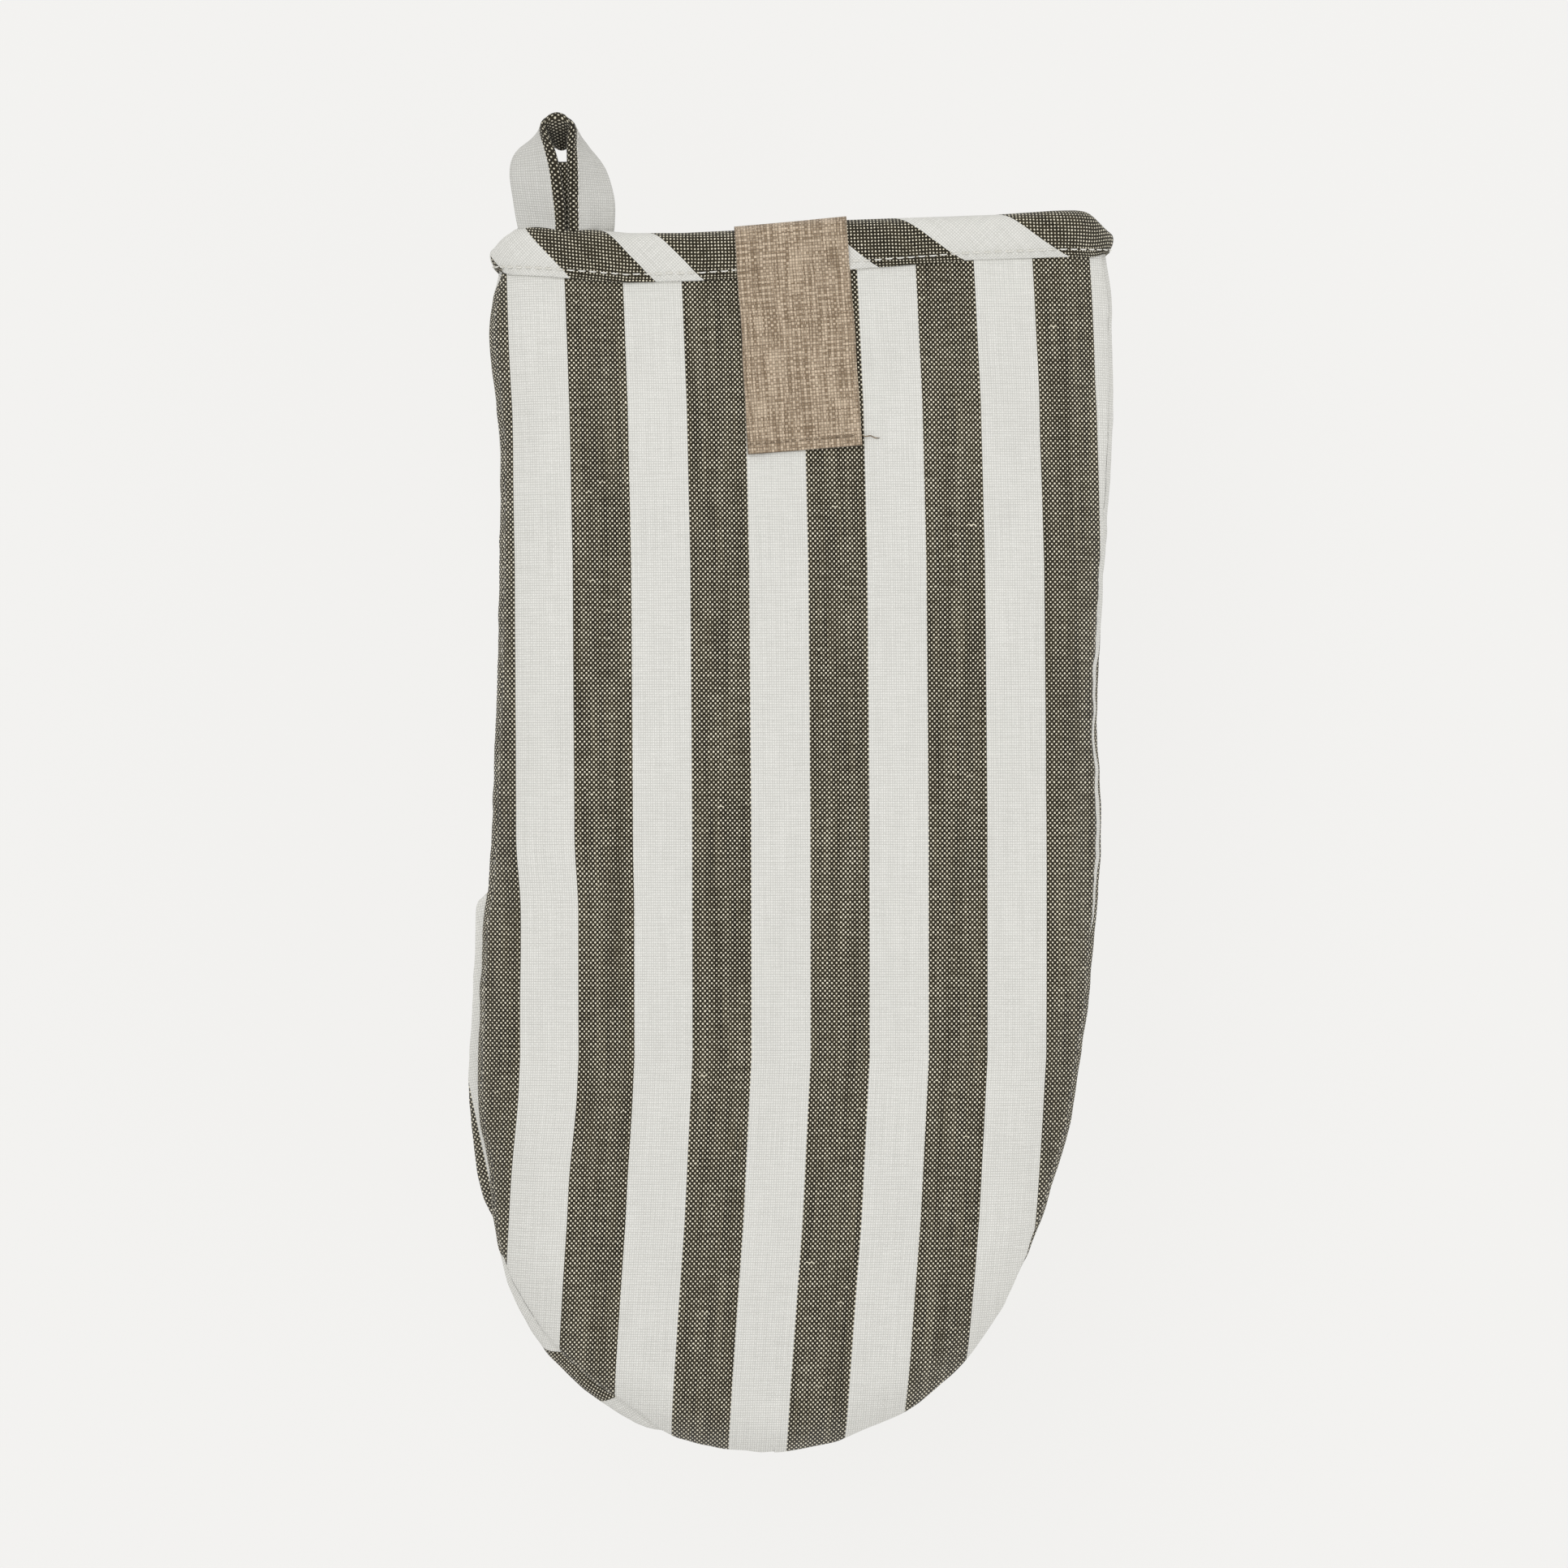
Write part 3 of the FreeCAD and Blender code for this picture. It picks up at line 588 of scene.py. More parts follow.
def closed_copy(halves):
    """The closed outer shape as a coarse, evenly meshed object."""
    upper, lower = (points[::6, ::3] for points in halves)
    around = np.concatenate([upper, lower[:, ::-1][:, 1:-1]], axis=1)
    rows, columns = around.shape[:2]
    centre = around[0].mean(axis=0)
    faces = grid_faces(rows, columns, True).tolist()
    faces += [[rows * columns, (k + 1) % columns, k] for k in range(columns)]
    mesh = bpy.data.meshes.new("filling")
    mesh.from_pydata([*around.reshape(-1, 3).tolist(), centre.tolist()], [], faces)
    copy = link("filling", mesh)
    remesh = copy.modifiers.new("remesh", "REMESH")
    remesh.mode, remesh.voxel_size = "VOXEL", VOXEL
    depsgraph = bpy.context.evaluated_depsgraph_get()
    copy.data = bpy.data.meshes.new_from_object(copy.evaluated_get(depsgraph))
    copy.modifiers.clear()
    return copy


def blown_up(copy, start):
    """How far pressure moves each point of the copy. The cuff and what lies on the ground are held."""
    held = copy.vertex_groups.new(name="held")
    weight = np.maximum(smoothstep(start[:, 1], 0.110, 0.134), 1 - smoothstep(start[:, 2], 0.0015, 0.009))
    for number, amount in enumerate(weight):
        held.add([number], float(amount), "REPLACE")
    cloth = copy.modifiers.new("cloth", "CLOTH")
    settings = cloth.settings
    settings.quality, settings.mass, settings.air_damping = 6, 0.25, 4.0
    settings.tension_stiffness = settings.compression_stiffness = 18
    settings.shear_stiffness, settings.bending_stiffness = 8, 1.2
    settings.use_pressure, settings.uniform_pressure_force = True, 2.2
    settings.effector_weights.gravity = 0
    settings.shrink_min = -0.012
    settings.vertex_group_mass, settings.pin_stiffness = "held", 1.0
    cloth.point_cache.frame_start, cloth.point_cache.frame_end = 1, LAST_FRAME
    for step in range(1, LAST_FRAME + 1):
        bpy.context.scene.frame_set(step)
    shape = copy.evaluated_get(bpy.context.evaluated_depsgraph_get())
    moved = np.array([v.co for v in shape.data.vertices]) - start
    copy.modifiers.clear()
    bpy.context.scene.frame_set(1)
    size = np.linalg.norm(moved, axis=1, keepdims=True)
    return moved * LARGEST_MOVE * np.tanh(size / LARGEST_MOVE) / np.maximum(size, 1e-9)


def filled_out(halves):
    """Fills the outer shape under pressure. Returns a function from points to how far they move."""
    copy = closed_copy(halves)
    bpy.context.view_layer.objects.active = copy
    start = np.array([v.co for v in copy.data.vertices])
    moved = blown_up(copy, start)
    bpy.data.objects.remove(copy)
    tree = KDTree(len(start))
    for number, place in enumerate(start):
        tree.insert(place, number)
    tree.balance()

    def displacement(points):
        neighbours, reach = 8, 12 * MM
        found = np.zeros((points.size // 3, 3))
        for number, place in enumerate(points.reshape(-1, 3)):
            near = tree.find_n(place, neighbours)
            share = np.array([max(reach - distance, 1e-6) ** 2 for _, _, distance in near])
            found[number] = share @ moved[[index for _, index, _ in near]] / share.sum()
        return found.reshape(points.shape)

    return displacement


def shift(points, displacement):
    """Points moved by the filling, less towards the cuff and underneath, where the mitt is held or lies."""
    if displacement is None:
        return points
    y, z = points[..., 1], points[..., 2]
    amount = (1 - smoothstep(y, 0.108, 0.132)) * smoothstep(z, 0.008, 0.020)
    return points + displacement(points) * amount[..., None] * (0.12, 0.12, 0.8)


clean = [HAND.half(True)[0], HAND.half(False)[0]]
filling = filled_out(clean)

# ---- back, palm and thumb


def palm_seam_y(x):
    """The seam across the palm, from the crotch of the thumb to the far side. It isn't quite straight."""
    return -28.5 * MM + 0.6 * MM * np.sin(x / 0.021)


def palm_seam_dip(points):
    x, y = points[..., 0], points[..., 1]
    underneath = points[..., 2] < hand_seam(points) - 0.002
    groove = np.exp(-(((y - palm_seam_y(x)) / 1.5 / MM) ** 2)) * smoothstep(x, -0.028, -0.018)
    points[..., 2] += 1.5 * MM * groove * underneath
    return points


def cloth_map(flat, shift_u, shift_v=0.0):
    """The place in the striped cloth: the stripes swerve a little where the back rises over the thumb."""
    x, y = flat[..., 0], flat[..., 1]
    along_thumb = smoothstep(-y, 0.012, 0.034) * (1 - smoothstep(-y, 0.080, 0.106))
    swerve = 1.2 * MM * along_thumb * smoothstep(-x, 0.030, 0.064)
    sideways = lean(y) + swerve + 3.97 * MM
    return np.dstack([x + shift_u - sideways, y + shift_v])


def met_at_seams(flat, other):
    """The palm's flat pattern, squeezed sideways so that its stripes meet the back's at the side seams."""
    middle = HAND.middle[:, :1]
    left = flat[..., 0] < middle
    reach, wanted = flat[:, [0, -1], 0] - middle, other[:, [0, -1], 0] - middle
    wide = np.abs(reach) > 0.02
    ratio = np.where(wide, wanted / np.where(wide, reach, 1), 1)
    flat[..., 0] = middle + (flat[..., 0] - middle) * np.where(left, ratio[:, :1], ratio[:, 1:])
    x, y = flat[..., 0], flat[..., 1]
    drift = 1.9 * MM
    flat[..., 0] += drift * smoothstep(x, 0.030, 0.070)
    flat[..., 0] -= drift * smoothstep(-y, 0.125, 0.150) * (x < -0.006)
    return flat


striped = striped_cloth("StripedCotton", even_stripes)

back_points, back_flat = HAND.half(True, pinch=1.3 * MM, pucker=0.45 * MM, wave=0.35 * MM)
back_points = shift(back_points, filling)
back = grid_mesh("back", back_points, {"Flat": cloth_map(back_flat, 0)}, flip=True)
finish(back, striped, "striped_cloth", "mitt", "back_outer", "back_wadding")

palm_points, palm_flat = HAND.half(False, pinch=1.3 * MM, pucker=0.45 * MM)
palm_points = palm_seam_dip(shift(palm_points, filling))
palm_map = cloth_map(met_at_seams(palm_flat, back_flat), 1.1 * MM, 0.2 * MM)
palm = grid_mesh("palm", palm_points, {"Flat": palm_map})
palm_nodes = [f"palm_{part}_{layer}" for part in ("wrist", "finger") for layer in ("outer", "wadding")]
finish(palm, striped, "striped_cloth_palm", "mitt", *palm_nodes)

HINGE = ("mitt", "thumb", (-0.054, -0.020, 0), (-0.054, -0.042, 0))


def turned(flat, angle, shift_u):
    """A flat pattern cut from the cloth at an angle."""
    x, y, c, s = flat[..., 0], flat[..., 1], np.cos(angle), np.sin(angle)
    return np.dstack([x * c + y * s + shift_u, y * c - x * s])


thumb_halves = []
for upward, off in ((True, 0.0), (False, 6.0 * MM)):
    thumb_points, thumb_flat = THUMB.half(upward, across=12, pinch=0.9 * MM, pucker=0.35 * MM)
    thumb_halves.append((thumb_points, {"Flat": turned(thumb_flat, 0.218, 0.1168 + off)}))
thumb = joined("thumb_cover", *thumb_halves)
thumb_nodes = [f"thumb_{part}_{layer}" for part in ("upper", "lower") for layer in ("outer", "wadding")]
finish(thumb, striped, "striped_cloth_thumb", HINGE, *thumb_nodes)

# ---- lining

LINING_COLOURS = ((0.62, 0.60, 0.54), (0.74, 0.73, 0.68))
lining_cloth = plain_cloth("LiningCotton", LINING_COLOURS, 0.42 * MM, 0.44 * MM, 0.30, 0.06)


def lined(name, form, wall, **look):
    """The lining of a form, inside its cloth and wadding."""
    halves = []
    for upward in (True, False):
        points, flat = form.half(upward, inset=WALL, wall=wall, **look)
        halves.append((points, {"Flat": flat}))
    return joined(name, *halves, inwards=True)


lining = lined("lining", HAND, WALL, across=20, pinch=0.5 * MM, pucker=0.5 * MM)
lining_nodes = ["back_lining", "palm_wrist_lining", "palm_finger_lining"]
finish(lining, lining_cloth, "lining_cloth", "mitt", *lining_nodes)

thumb_lining = lined("thumb_lining", THUMB, THUMB_WALL, across=9, pucker=0.3 * MM)
finish(thumb_lining, lining_cloth, "lining_cloth", HINGE, "thumb_upper_lining", "thumb_lower_lining")

# ---- cuff binding

# Columns of points around the cuff, and the row of the outer surface that they are spaced on.
AROUND, CUFF_ROW = 360, 8
# Upper and lower edge of the binding along the back, as (x, y) in millimetres.
BINDING_TOP = [(-86, 147.4), (-70, 148.0), (-58, 147.2), (-44.3, 145.9), (-30, 145.9), (-16.4, 146.5),
               (0, 147.9), (14.3, 149.3), (34, 150.0), (54.4, 150.8), (70, 151.9), (77, 152.2), (90, 151.6)]
BINDING_LOW = [(-86, 136.4), (-78.0, 135.2), (-59.3, 133.7), (-44.3, 132.6), (-25, 133.0), (-15.3, 133.7),
               (22.2, 136.5), (47.9, 138.6), (73.7, 139.5), (83.9, 140.0), (90, 140.4)]
# From the outer fold, over the edge, to the inner fold: share of the width, millimetres from the cloth.
BINDING_SECTION = [(0.045, -0.5), (0.0, 0.1), (0.0, 0.75), (0.045, 1.0), (0.095, 0.55), (0.16, 1.2),
                   (0.3, 1.9), (0.5, 2.25), (0.7, 2.2), (0.86, 1.5), (0.965, -0.1), (1.0, -2.5),
                   (0.965, -4.9), (0.86, -6.5), (0.7, -7.2), (0.5, -7.2), (0.3, -6.8), (0.16, -6.2),
                   (0.1, -5.7), (0.05, -6.1), (0.0, -5.9), (0.02, -5.3)]
# Rows of the binding in the grooves of its two lines of stitches, and the row on top of its fold.
STITCHED_ROWS, FOLD_ROW = (6, 47), 20


def cuff_wall():
    """The outer surface near the cuff as closed rows of even steps, and its outward directions."""
    rows = np.concatenate([clean[0][:40], clean[1][:40, ::-1][:, 1:]], axis=1)
    run = length_along(rows[CUFF_ROW][:, [0, 2]])
    at = np.interp(np.linspace(0, run[-1], AROUND + 1), run, np.arange(rows.shape[1]))
    low = np.floor(at).astype(int).clip(0, rows.shape[1] - 2)
    part = (at - low)[None, :, None]
    wall = rows[:, low] * (1 - part) + rows[:, low + 1] * part
    level = wall[CUFF_ROW][:-1, [0, 2]]
    along = unit(np.roll(level, -1, axis=0) - np.roll(level, 1, axis=0))
    outward = np.stack([-along[:, 1], 0 * along[:, 0], along[:, 0]], axis=1)
    return wall, np.vstack([outward, outward[:1]])


def binding_grid():
    """The binding's points: a row for each place on its section, a column for each around the cuff."""
    wall, outward = cuff_wall()
    usual_width = 13
    section = smooth_line(np.array(BINDING_SECTION) * (usual_width, 1), 52) / (usual_width, 1)
    x = wall[CUFF_ROW][:, 0]
    top = np.interp(x, *np.array(BINDING_TOP).T * MM)
    low = np.interp(x, *np.array(BINDING_LOW).T * MM)
    run = length_along(wall[CUFF_ROW][:, [0, 2]])
    # The strip narrows where it turns at the two side seams.
    for end in (np.argmin(x), np.argmax(x)):
        near = np.abs((run - run[end] + run[-1] / 2) % run[-1] - run[-1] / 2)
        dip = 0.5 + 0.5 * np.cos(np.pi * np.clip(near / 9.5 / MM, 0, 1))
        top = top - 4.3 * MM * dip
        low = low + 1.3 * MM * dip
    around = np.linspace(0, 2 * np.pi, AROUND + 1)
    puff = 1 + 0.16 * ripple(3.1 * np.cos(around), 3.1 * np.sin(around), 0.55, 2.0)
    grid = []
    for share, off in section:
        y = low + (top - low) * share
        columns = list(zip(y, wall.transpose(1, 0, 2)))
        x, z = ([np.interp(-at, -column[:, 1], column[:, k]) for at, column in columns] for k in (0, 2))
        fullness = puff if share > 0.12 and off > -2.5 else 1
        lift = ((off + 2.5) * fullness - 2.5) * MM * np.ones(AROUND + 1)
        grid.append(np.stack([x, y, z], axis=1) + lift[:, None] * outward)
    grid = np.array(grid)
    grid[:, -1] = grid[:, 0]
    return grid


binding_points = binding_grid()
BACK_SIDE = slice(0, int(np.argmax(binding_points[8, :, 0])) + 1)


def binding_edges():
    """Where the slanting stripes change along the fold: unevenly on the back, and evenly elsewhere."""
    uneven, pitch = [-57.1, -34.6, -23.9, -1.0, 22.2, 45.8, 73.0], 21.85
    before = [uneven[0] - pitch * k for k in range(7, 0, -1)]
    after = [uneven[-1] + pitch * k + max(0, 10.6 - 2.1 * k) for k in range(1, 13)]
    return np.array(before + uneven + after) * MM


run_along = length_along(binding_points[FOLD_ROW][:, [0, 2]])
run_along = run_along - run_along[int(np.argmin(np.abs(binding_points[FOLD_ROW][BACK_SIDE, 0])))]
along, up = np.broadcast_arrays(run_along[None, :], length_along(binding_points))
slant = np.interp(along, [-0.06, -0.02, 0.04, 0.075, 0.12], [0.98, 1.0, 1.3, 1.42, 1.0])
binding_maps = {
    "Flat": np.dstack([along + up, up - along]) / np.sqrt(2),
    "Stripes": np.dstack([along + slant * up, up]),
}
# A join in the strip shows as a low ridge between two stripes, on the outside of the back.
ridge = np.exp(-(((binding_maps["Stripes"][..., 0] + 29.3 * MM) / 0.7 / MM) ** 2))
binding_points[..., 2] += 0.25 * MM * ridge * (up < 0.014) * (np.arange(AROUND + 1) < BACK_SIDE.stop)
binding_stripes = steps(binding_edges(), True, -0.25, 0.40, "Stripes")
binding_cloth = striped_cloth("BiasBinding", binding_stripes, 1.0, 0.08)
binding = grid_mesh("binding", binding_points[:, :-1], binding_maps, around=True)
finish(binding, binding_cloth, "binding_cloth", "mitt", "cuff_binding")

white_thread = thread_material("WhiteThread", ((0.62, 0.60, 0.54), (0.86, 0.85, 0.80)))
brown_thread = thread_material("BrownThread", ((0.10, 0.07, 0.04), (0.30, 0.22, 0.14)))


def facing(points):
    """Outward directions on a grid of points."""
    down = np.gradient(points, axis=0)
    across = np.gradient(points, axis=1)
    return unit(np.cross(across, down))


binding_facing = facing(binding_points)
through_strip = binding_points[12] - binding_points[38]
binding_facing *= np.sign((binding_facing[12] * through_strip).sum(axis=1).mean())
rows = [(binding_points[k], binding_facing[k], 2.9 * MM, 2.1 * MM, 0.42 * MM, 0.75) for k in STITCHED_ROWS]
finish(stitched("binding_stitches", rows), white_thread, "sewing_thread", "mitt", "binding_stitching")

# ---- label


def tree_of(points):
    rows, columns = points.shape[:2]
    return BVHTree.FromPolygons(points.reshape(-1, 3).tolist(), grid_faces(rows, columns).tolist())


LABEL_WIDTH = 30 * MM


def below(surface, x, y):
    """The place on a surface straight below (x, y)."""
    return surface.ray_cast(Vector((x, y, 0.1)), Vector((0, 0, -1)))[0]


def label_points():
    """The label from its lower edge, up the back, over the binding and down inside the cuff."""
    surface = tree_of(back_points)
    outer = binding_points[:, BACK_SIDE]
    columns = []
    for share in np.linspace(0, 1, 25):
        low = np.array([-11.7 + 30.0 * share, 86.9 + 2.4 * share]) * MM
        high = np.array([-15.3 + 29.6 * share, 147.6 + 1.7 * share]) * MM
        across = np.array([[np.interp(high[0], row[:, 0], row[:, k]) for k in range(3)] for row in outer])
        tangent = unit(np.gradient(across, axis=0))
        normal = np.stack([0 * tangent[:, 0], -tangent[:, 2], tangent[:, 1]], axis=1)
        normal *= np.sign(normal[12, 2])
        over = across[4:] + 0.75 * MM * normal[4:]
        end = np.searchsorted(length_along(over), 0.034)
        over = over[: min(end, len(over) - 5)]
        outside = over[:, 2] > 0.022
        over[:, 0] += np.interp(over[:, 1], [0.13, 0.147], [1, 0]) * (low[0] - high[0]) * 0.25 * outside
        path = []
        for t in np.linspace(0, 1, 18):
            y = low[1] + (over[0, 1] - 2.2 * MM - low[1]) * t
            x = low[0] + (high[0] - low[0]) * (y - low[1]) / (high[1] - low[1])
            path.append((x, y, below(surface, x, y).z + 0.55 * MM))
        columns.append(smooth_line(np.vstack([path, over[1::2]]), 150))
    points = np.array(columns).transpose(1, 0, 2)
    x, y = points[..., 0], points[..., 1]
    on_back = points[..., 2] > 0.0235
    crease = np.exp(-(((y - 144.2 * MM) / 0.8 / MM) ** 2)) * on_back
    lift = 0.9 * smoothstep(-y, -0.100, -0.089) * smoothstep(np.abs(x - 3 * MM), 0.006, 0.016)
    points[..., 2] += (0.5 * ripple(x, y, 0.019, 6.0) * on_back - 0.45 * crease + 0.8 * lift) * MM
    points[..., 0] += 0.45 * MM * ripple(0 * x + 2, y, 0.016, 3.0)
    return points


label_grid = label_points()
run = length_along(label_grid)
width = np.broadcast_to(np.linspace(0, LABEL_WIDTH, label_grid.shape[1])[None, :], run.shape)
linen = plain_cloth("Linen", ((0.27, 0.195, 0.125), (0.70, 0.565, 0.42)), LINEN, LINEN, 0.62, 0.16)
label = grid_mesh("label_tape", label_grid, {"Flat": np.dstack([width, run])})
thickened(label, 0.5 * MM)
finish(label, linen, "label_linen", "mitt", "label")

label_facing = facing(label_grid)
middle_column = label_grid.shape[1] // 2
label_facing *= np.sign(label_facing[20, middle_column, 2])
hem = int(np.searchsorted(run[:, middle_column], 2.4 * MM))
line = label_grid[hem] + 0.25 * MM * label_facing[hem]
rows = [(line, label_facing[hem], 1.9 * MM, 1.35 * MM, 0.38 * MM, 0.75)]
label_stitches = stitched("label_stitches", rows)
finish(label_stitches, brown_thread, "sewing_thread", "mitt", "label_stitching")


def loose_end(start):
    """The stitching's thread end, trailing off the label onto the cloth."""
    surface = tree_of(back_points)
    trail = np.array([(0, 0), (1.2, -0.4), (2.6, -0.1), (4.0, -0.9), (5.0, -0.5)]) * MM
    plan = smooth_line(trail + start[:2], 24)
    path = []
    for number, (x, y) in enumerate(plan):
        blend = smoothstep(number, 0, 8)
        path.append((x, y, start[2] * (1 - blend) + (below(surface, x, y).z + 0.25 * MM) * blend))
    path = np.array(path)
    whole = length_along(path)[-1]
    return (path, np.tile((0.0, 0.0, 1.0), (len(path), 1)), 0.98 * whole, 0.98 * whole, 0.3 * MM, 0.75)


tail = stitched("label_thread_end", [loose_end(line[-1])])
finish(tail, brown_thread, "sewing_thread", "mitt")

# ---- hanging loop


TAPE = 13.2 * MM


def loop_grid():
    """The loop as sections of a folded tape that stands on edge at the top and opens towards the cuff.

    plan gives the (x, y) of the tape's front edge and of its rear edge, and rise the height of the front
    edge from a foot to the top.
    """
    plan = [(-59.7, 145.5, -72.2, 146), (-59.7, 149, -73.0, 149.8), (-59.9, 154, -73.8, 155),
            (-61.0, 161.5, -74.6, 161.5), (-62.5, 167.3, -73.6, 166.2), (-64.5, 171.6, -70.0, 169.8),
            (-65.4, 174.3, -66.2, 171.4), (-64.3, 176.1, -63.2, 169.5), (-62.0, 176.9, -61.1, 168.2),
            (-59.5, 176.0, -59.3, 169.2), (-58.3, 173.6, -56.6, 171.2), (-58.9, 168.5, -53.4, 167.9),
            (-59.15, 162.5, -49.4, 162.6), (-59.15, 155, -47.1, 155.1), (-59.15, 149, -47.0, 149),
            (-59.15, 145.5, -47.4, 145.8)]
    rise = [26.0, 26.4, 27.6, 28.8, 29.6, 30.1, 30.3, 30.4]
    plan, heights = np.array(plan) * MM, np.array(rise + rise[::-1])[:, None] * MM
    drop = np.sqrt(np.maximum(TAPE**2 - ((plan[:, :2] - plan[:, 2:]) ** 2).sum(axis=1), (4 * MM) ** 2))
    line = smooth_line(np.hstack([plan[:, :2], heights, plan[:, 2:], heights - drop[:, None]]), 110)
    front, rear = line[:, :3], line[:, 3:]
    across = unit(rear - front)
    along = unit(np.gradient((front + rear) / 2, axis=0))
    outward = unit(np.cross(along, across))
    wide = np.linalg.norm(rear - front, axis=1)[:, None]
    turn = np.linspace(0, np.pi, 9)[1:-1]
    rear_edge = [(12.4 + 0.8 * np.sin(a), -0.8 * np.cos(a)) for a in turn]
    face = [(12.4 - k * 11.2 / 12, 0.8 + 0.35 * k / 12 + 0.1 * np.sin(np.pi * k / 12)) for k in range(13)]
    front_edge = [(1.2 - 1.15 * np.sin(a), 1.15 * np.cos(a)) for a in turn]
    inner_face = [(x, -y) for x, y in face[::-1]]
    ring = np.array(rear_edge[3:] + face + front_edge + inner_face + rear_edge[:3]) * MM
    place, off = ring[:, 0], ring[:, 1]
    crumple = 0.55 * MM * ripple(length_along(line)[:, None] + 0 * place, 0.6 * place[None, :], 0.010, 9.0)
    grid = front[:, None] + across[:, None] * place[None, :, None] * (wide / TAPE)[:, None]
    grid = grid + outward[:, None] * (off + crumple * np.sin(np.pi * place / TAPE))[..., None]
    # The round front edge takes up less of the pattern than its length, so that its stripe stays narrow.
    flat_ring, edge = ring.copy(), 1.2 * MM
    flat_ring[:, 0] = np.where(place < edge, edge - 0.35 * (edge - place), place)
    run = length_along(np.vstack([flat_ring, flat_ring[:1]]))
    rise = length_along((front + rear) / 2)
    u, v = np.meshgrid(run, rise)
    return grid, np.dstack([u, v]), front, outward, across


loop_points, loop_flat, loop_front, loop_out, loop_across = loop_grid()
LOOP_EDGES = np.array([11.0, 27.5]) * MM
# The loop's cloth is made darker by a tone of 0.82: painted shade, for its faces that slope away from the
# light.
loop_cloth = striped_cloth("LoopTape", steps(LOOP_EDGES, False, 0.0, 0.040, "Flat"), 0.82, 0.08)
loop = grid_mesh("loop_strap", loop_points, {"Flat": loop_flat}, around=True)
TURN = ("mitt", "loop", (-0.060, 0.1465, 0.0236), (-0.060, 0.1525, 0.0236))
finish(loop, loop_cloth, "loop_tape", TURN, "hanging_loop")


def loop_shade_sheet():
    """A dark sheet between the two strands, under their front edges: painted shade, standing for the
    shadowed gap between the strands.
    """
    y = np.linspace(145.6, 164.4, 20)
    middle = np.interp(y, [146, 155, 161.5, 165], [-59.45, -59.6, -60.0, -60.3])
    level = np.interp(y, [145.5, 149, 154.5, 162, 167], [24.8, 25.2, 26.3, 27.5, 28.2])
    s = np.linspace(-1, 1, 9)
    x = middle[:, None] + 2.0 * s
    z = level[:, None] - 0.5 * (1 - s**2)
    points = np.dstack([x, y[:, None] + 0 * x, z]) * MM
    # Its place in the pattern lies in the loop's dark band, so that it shows dark: painted shade.
    return grid_mesh("loop_shade_sheet", points, {"Flat": np.dstack([x + 76, y[:, None] + 0 * x]) * MM})


shade_sheet = loop_shade_sheet()
thickened(shade_sheet, 0.6 * MM)
finish(shade_sheet, loop_cloth, "loop_tape", TURN)

loop_seam = loop_front + loop_across * 2.5 * MM + loop_out * 1.2 * MM
right_strand = slice(66, 108)
rows = [(loop_seam[right_strand], loop_out[right_strand], 1.6 * MM, 1.15 * MM, 0.34 * MM, 0.75)]
finish(stitched("loop_stitches", rows), white_thread, "sewing_thread", TURN)

# ---- threads lying in the seams


def seam_line(points):
    """The seam's left and right sides joined into one line round the tip."""
    return np.vstack([points[:, 0], points[::-1, -1]])


def outward_of(line, centre_x, lift=0.0):
    """Directions away from the middle line of the hand or thumb, which ends where the round tip begins."""
    tip = -0.09
    away = line - np.array([centre_x, 0, 0])
    away[:, 2] = lift
    away[:, 1] = np.where(line[:, 1] < tip, line[:, 1] - tip, 0)
    return unit(away)


def seam_thread(name, line, outward, body="mitt"):
    """The white stitches of one seam, in the place of the CAD's thread."""
    thread = stitched(name, [(line, outward, *SEAM_STITCH)])
    finish(thread, white_thread, "sewing_thread", body, f"{name}_thread")


side_line = seam_line(back_points)
seam_thread("side_seam", side_line, outward_of(side_line, 0.0, 0.02))

lining_line = seam_line(HAND.half(True, inset=WALL, wall=WALL)[0])
seam_thread("lining_seam", lining_line, -outward_of(lining_line, 0.0))

thumb_line = seam_line(thumb_halves[0][0])
seam_thread("thumb_seam", thumb_line, outward_of(thumb_line, -0.054), HINGE)

under_palm = tree_of(palm_points)
starts = [Vector((x, palm_seam_y(x), -0.1)) for x in np.linspace(-0.020, 0.076, 120)]
palm_line = np.array([under_palm.ray_cast(start, Vector((0, 0, 1)))[0] for start in starts])
seam_thread("palm_seam", palm_line, np.tile((0.0, -0.4, -0.9), (len(palm_line), 1)))

# ---- stage


FLOOR = -0.100


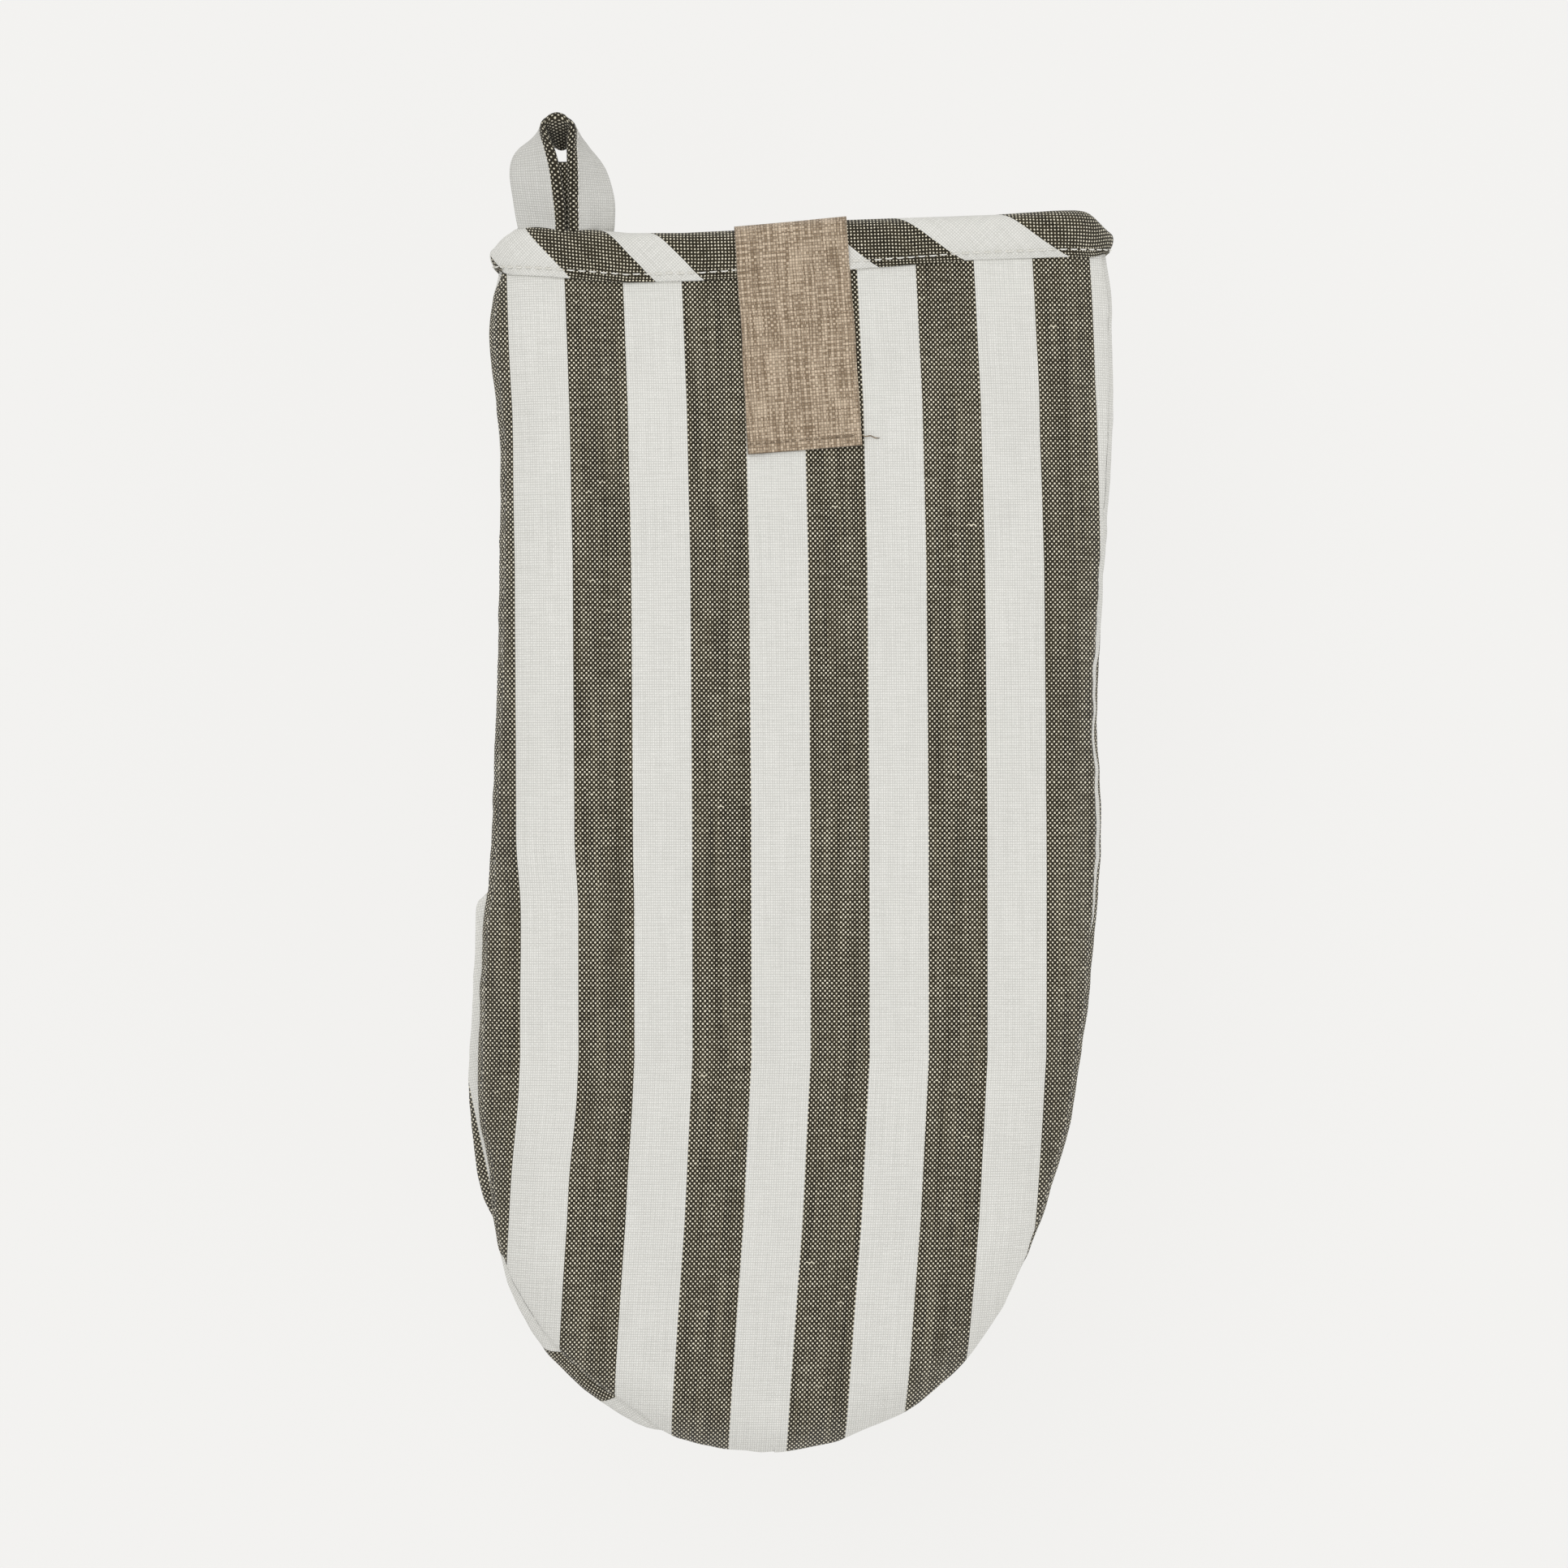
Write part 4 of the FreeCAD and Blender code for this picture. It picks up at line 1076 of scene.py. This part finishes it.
def studio():
    """A plain pale floor with a low wall round it, glowing evenly. The opened thumb stays above it."""
    n = Nodes("Studio", 0.95, 0.0, 0.0)
    n.look("Base Color", (0.08, 0.08, 0.08, 1))
    n.look("Emission Color", (0.888, 0.880, 0.863, 1))
    n.look("Emission Strength", 0.917)
    angle = np.linspace(0, 2 * np.pi, 97)[:-1]
    rings = [(0.5, 0), (6, 0), (11, 0), (11.7, 0.3), (12, 1.0), (12, 3.0)]
    points = np.array([[(r * np.cos(a), r * np.sin(a), z) for a in angle] for r, z in rings])
    faces = grid_faces(len(rings), len(angle), True)[:, ::-1].tolist() + [list(range(len(angle)))]
    mesh = bpy.data.meshes.new("studio")
    mesh.from_pydata(points.reshape(-1, 3).tolist(), [], faces)
    mesh.materials.append(n.material)
    floor = link("studio", mesh)
    floor.location.z = FLOOR


def soft_light(name, size, place, target, power):
    light = bpy.data.lights.new(name, "AREA")
    light.shape, light.size, light.energy = "SQUARE", size, power
    lamp = bpy.data.objects.new(name, light)
    lamp.location = place
    lamp.rotation_euler = (Vector(target) - Vector(place)).to_track_quat("-Z", "Y").to_euler()
    bpy.context.scene.collection.objects.link(lamp)


def camera():
    """A long lens straight above the mitt."""
    data = bpy.data.cameras.new("camera")
    data.lens, data.sensor_width = 150, 36
    data.clip_end = 30
    eye = bpy.data.objects.new("camera", data)
    width_seen, height_in_focus = 0.4142, 0.022
    distance = width_seen * data.lens / data.sensor_width
    eye.location = (-0.00225, 0.00054, height_in_focus + distance)
    bpy.context.scene.collection.objects.link(eye)
    bpy.context.scene.camera = eye


def sky():
    world = bpy.data.worlds.new("world")
    world.use_nodes = True
    background = world.node_tree.nodes["Background"]
    background.inputs["Color"].default_value = (1.0, 0.995, 0.985, 1)
    background.inputs["Strength"].default_value = 0.66
    bpy.context.scene.world = world


studio()
soft_light("top_light", 1.6, (-0.5, 0.6, 1.9), (0, 0, 0), 17)
soft_light("side_light", 1.2, (1.4, -0.5, 1.3), (0, 0, 0), 6)
sky()
bpy.context.scene.view_settings.view_transform = "Standard"
camera()
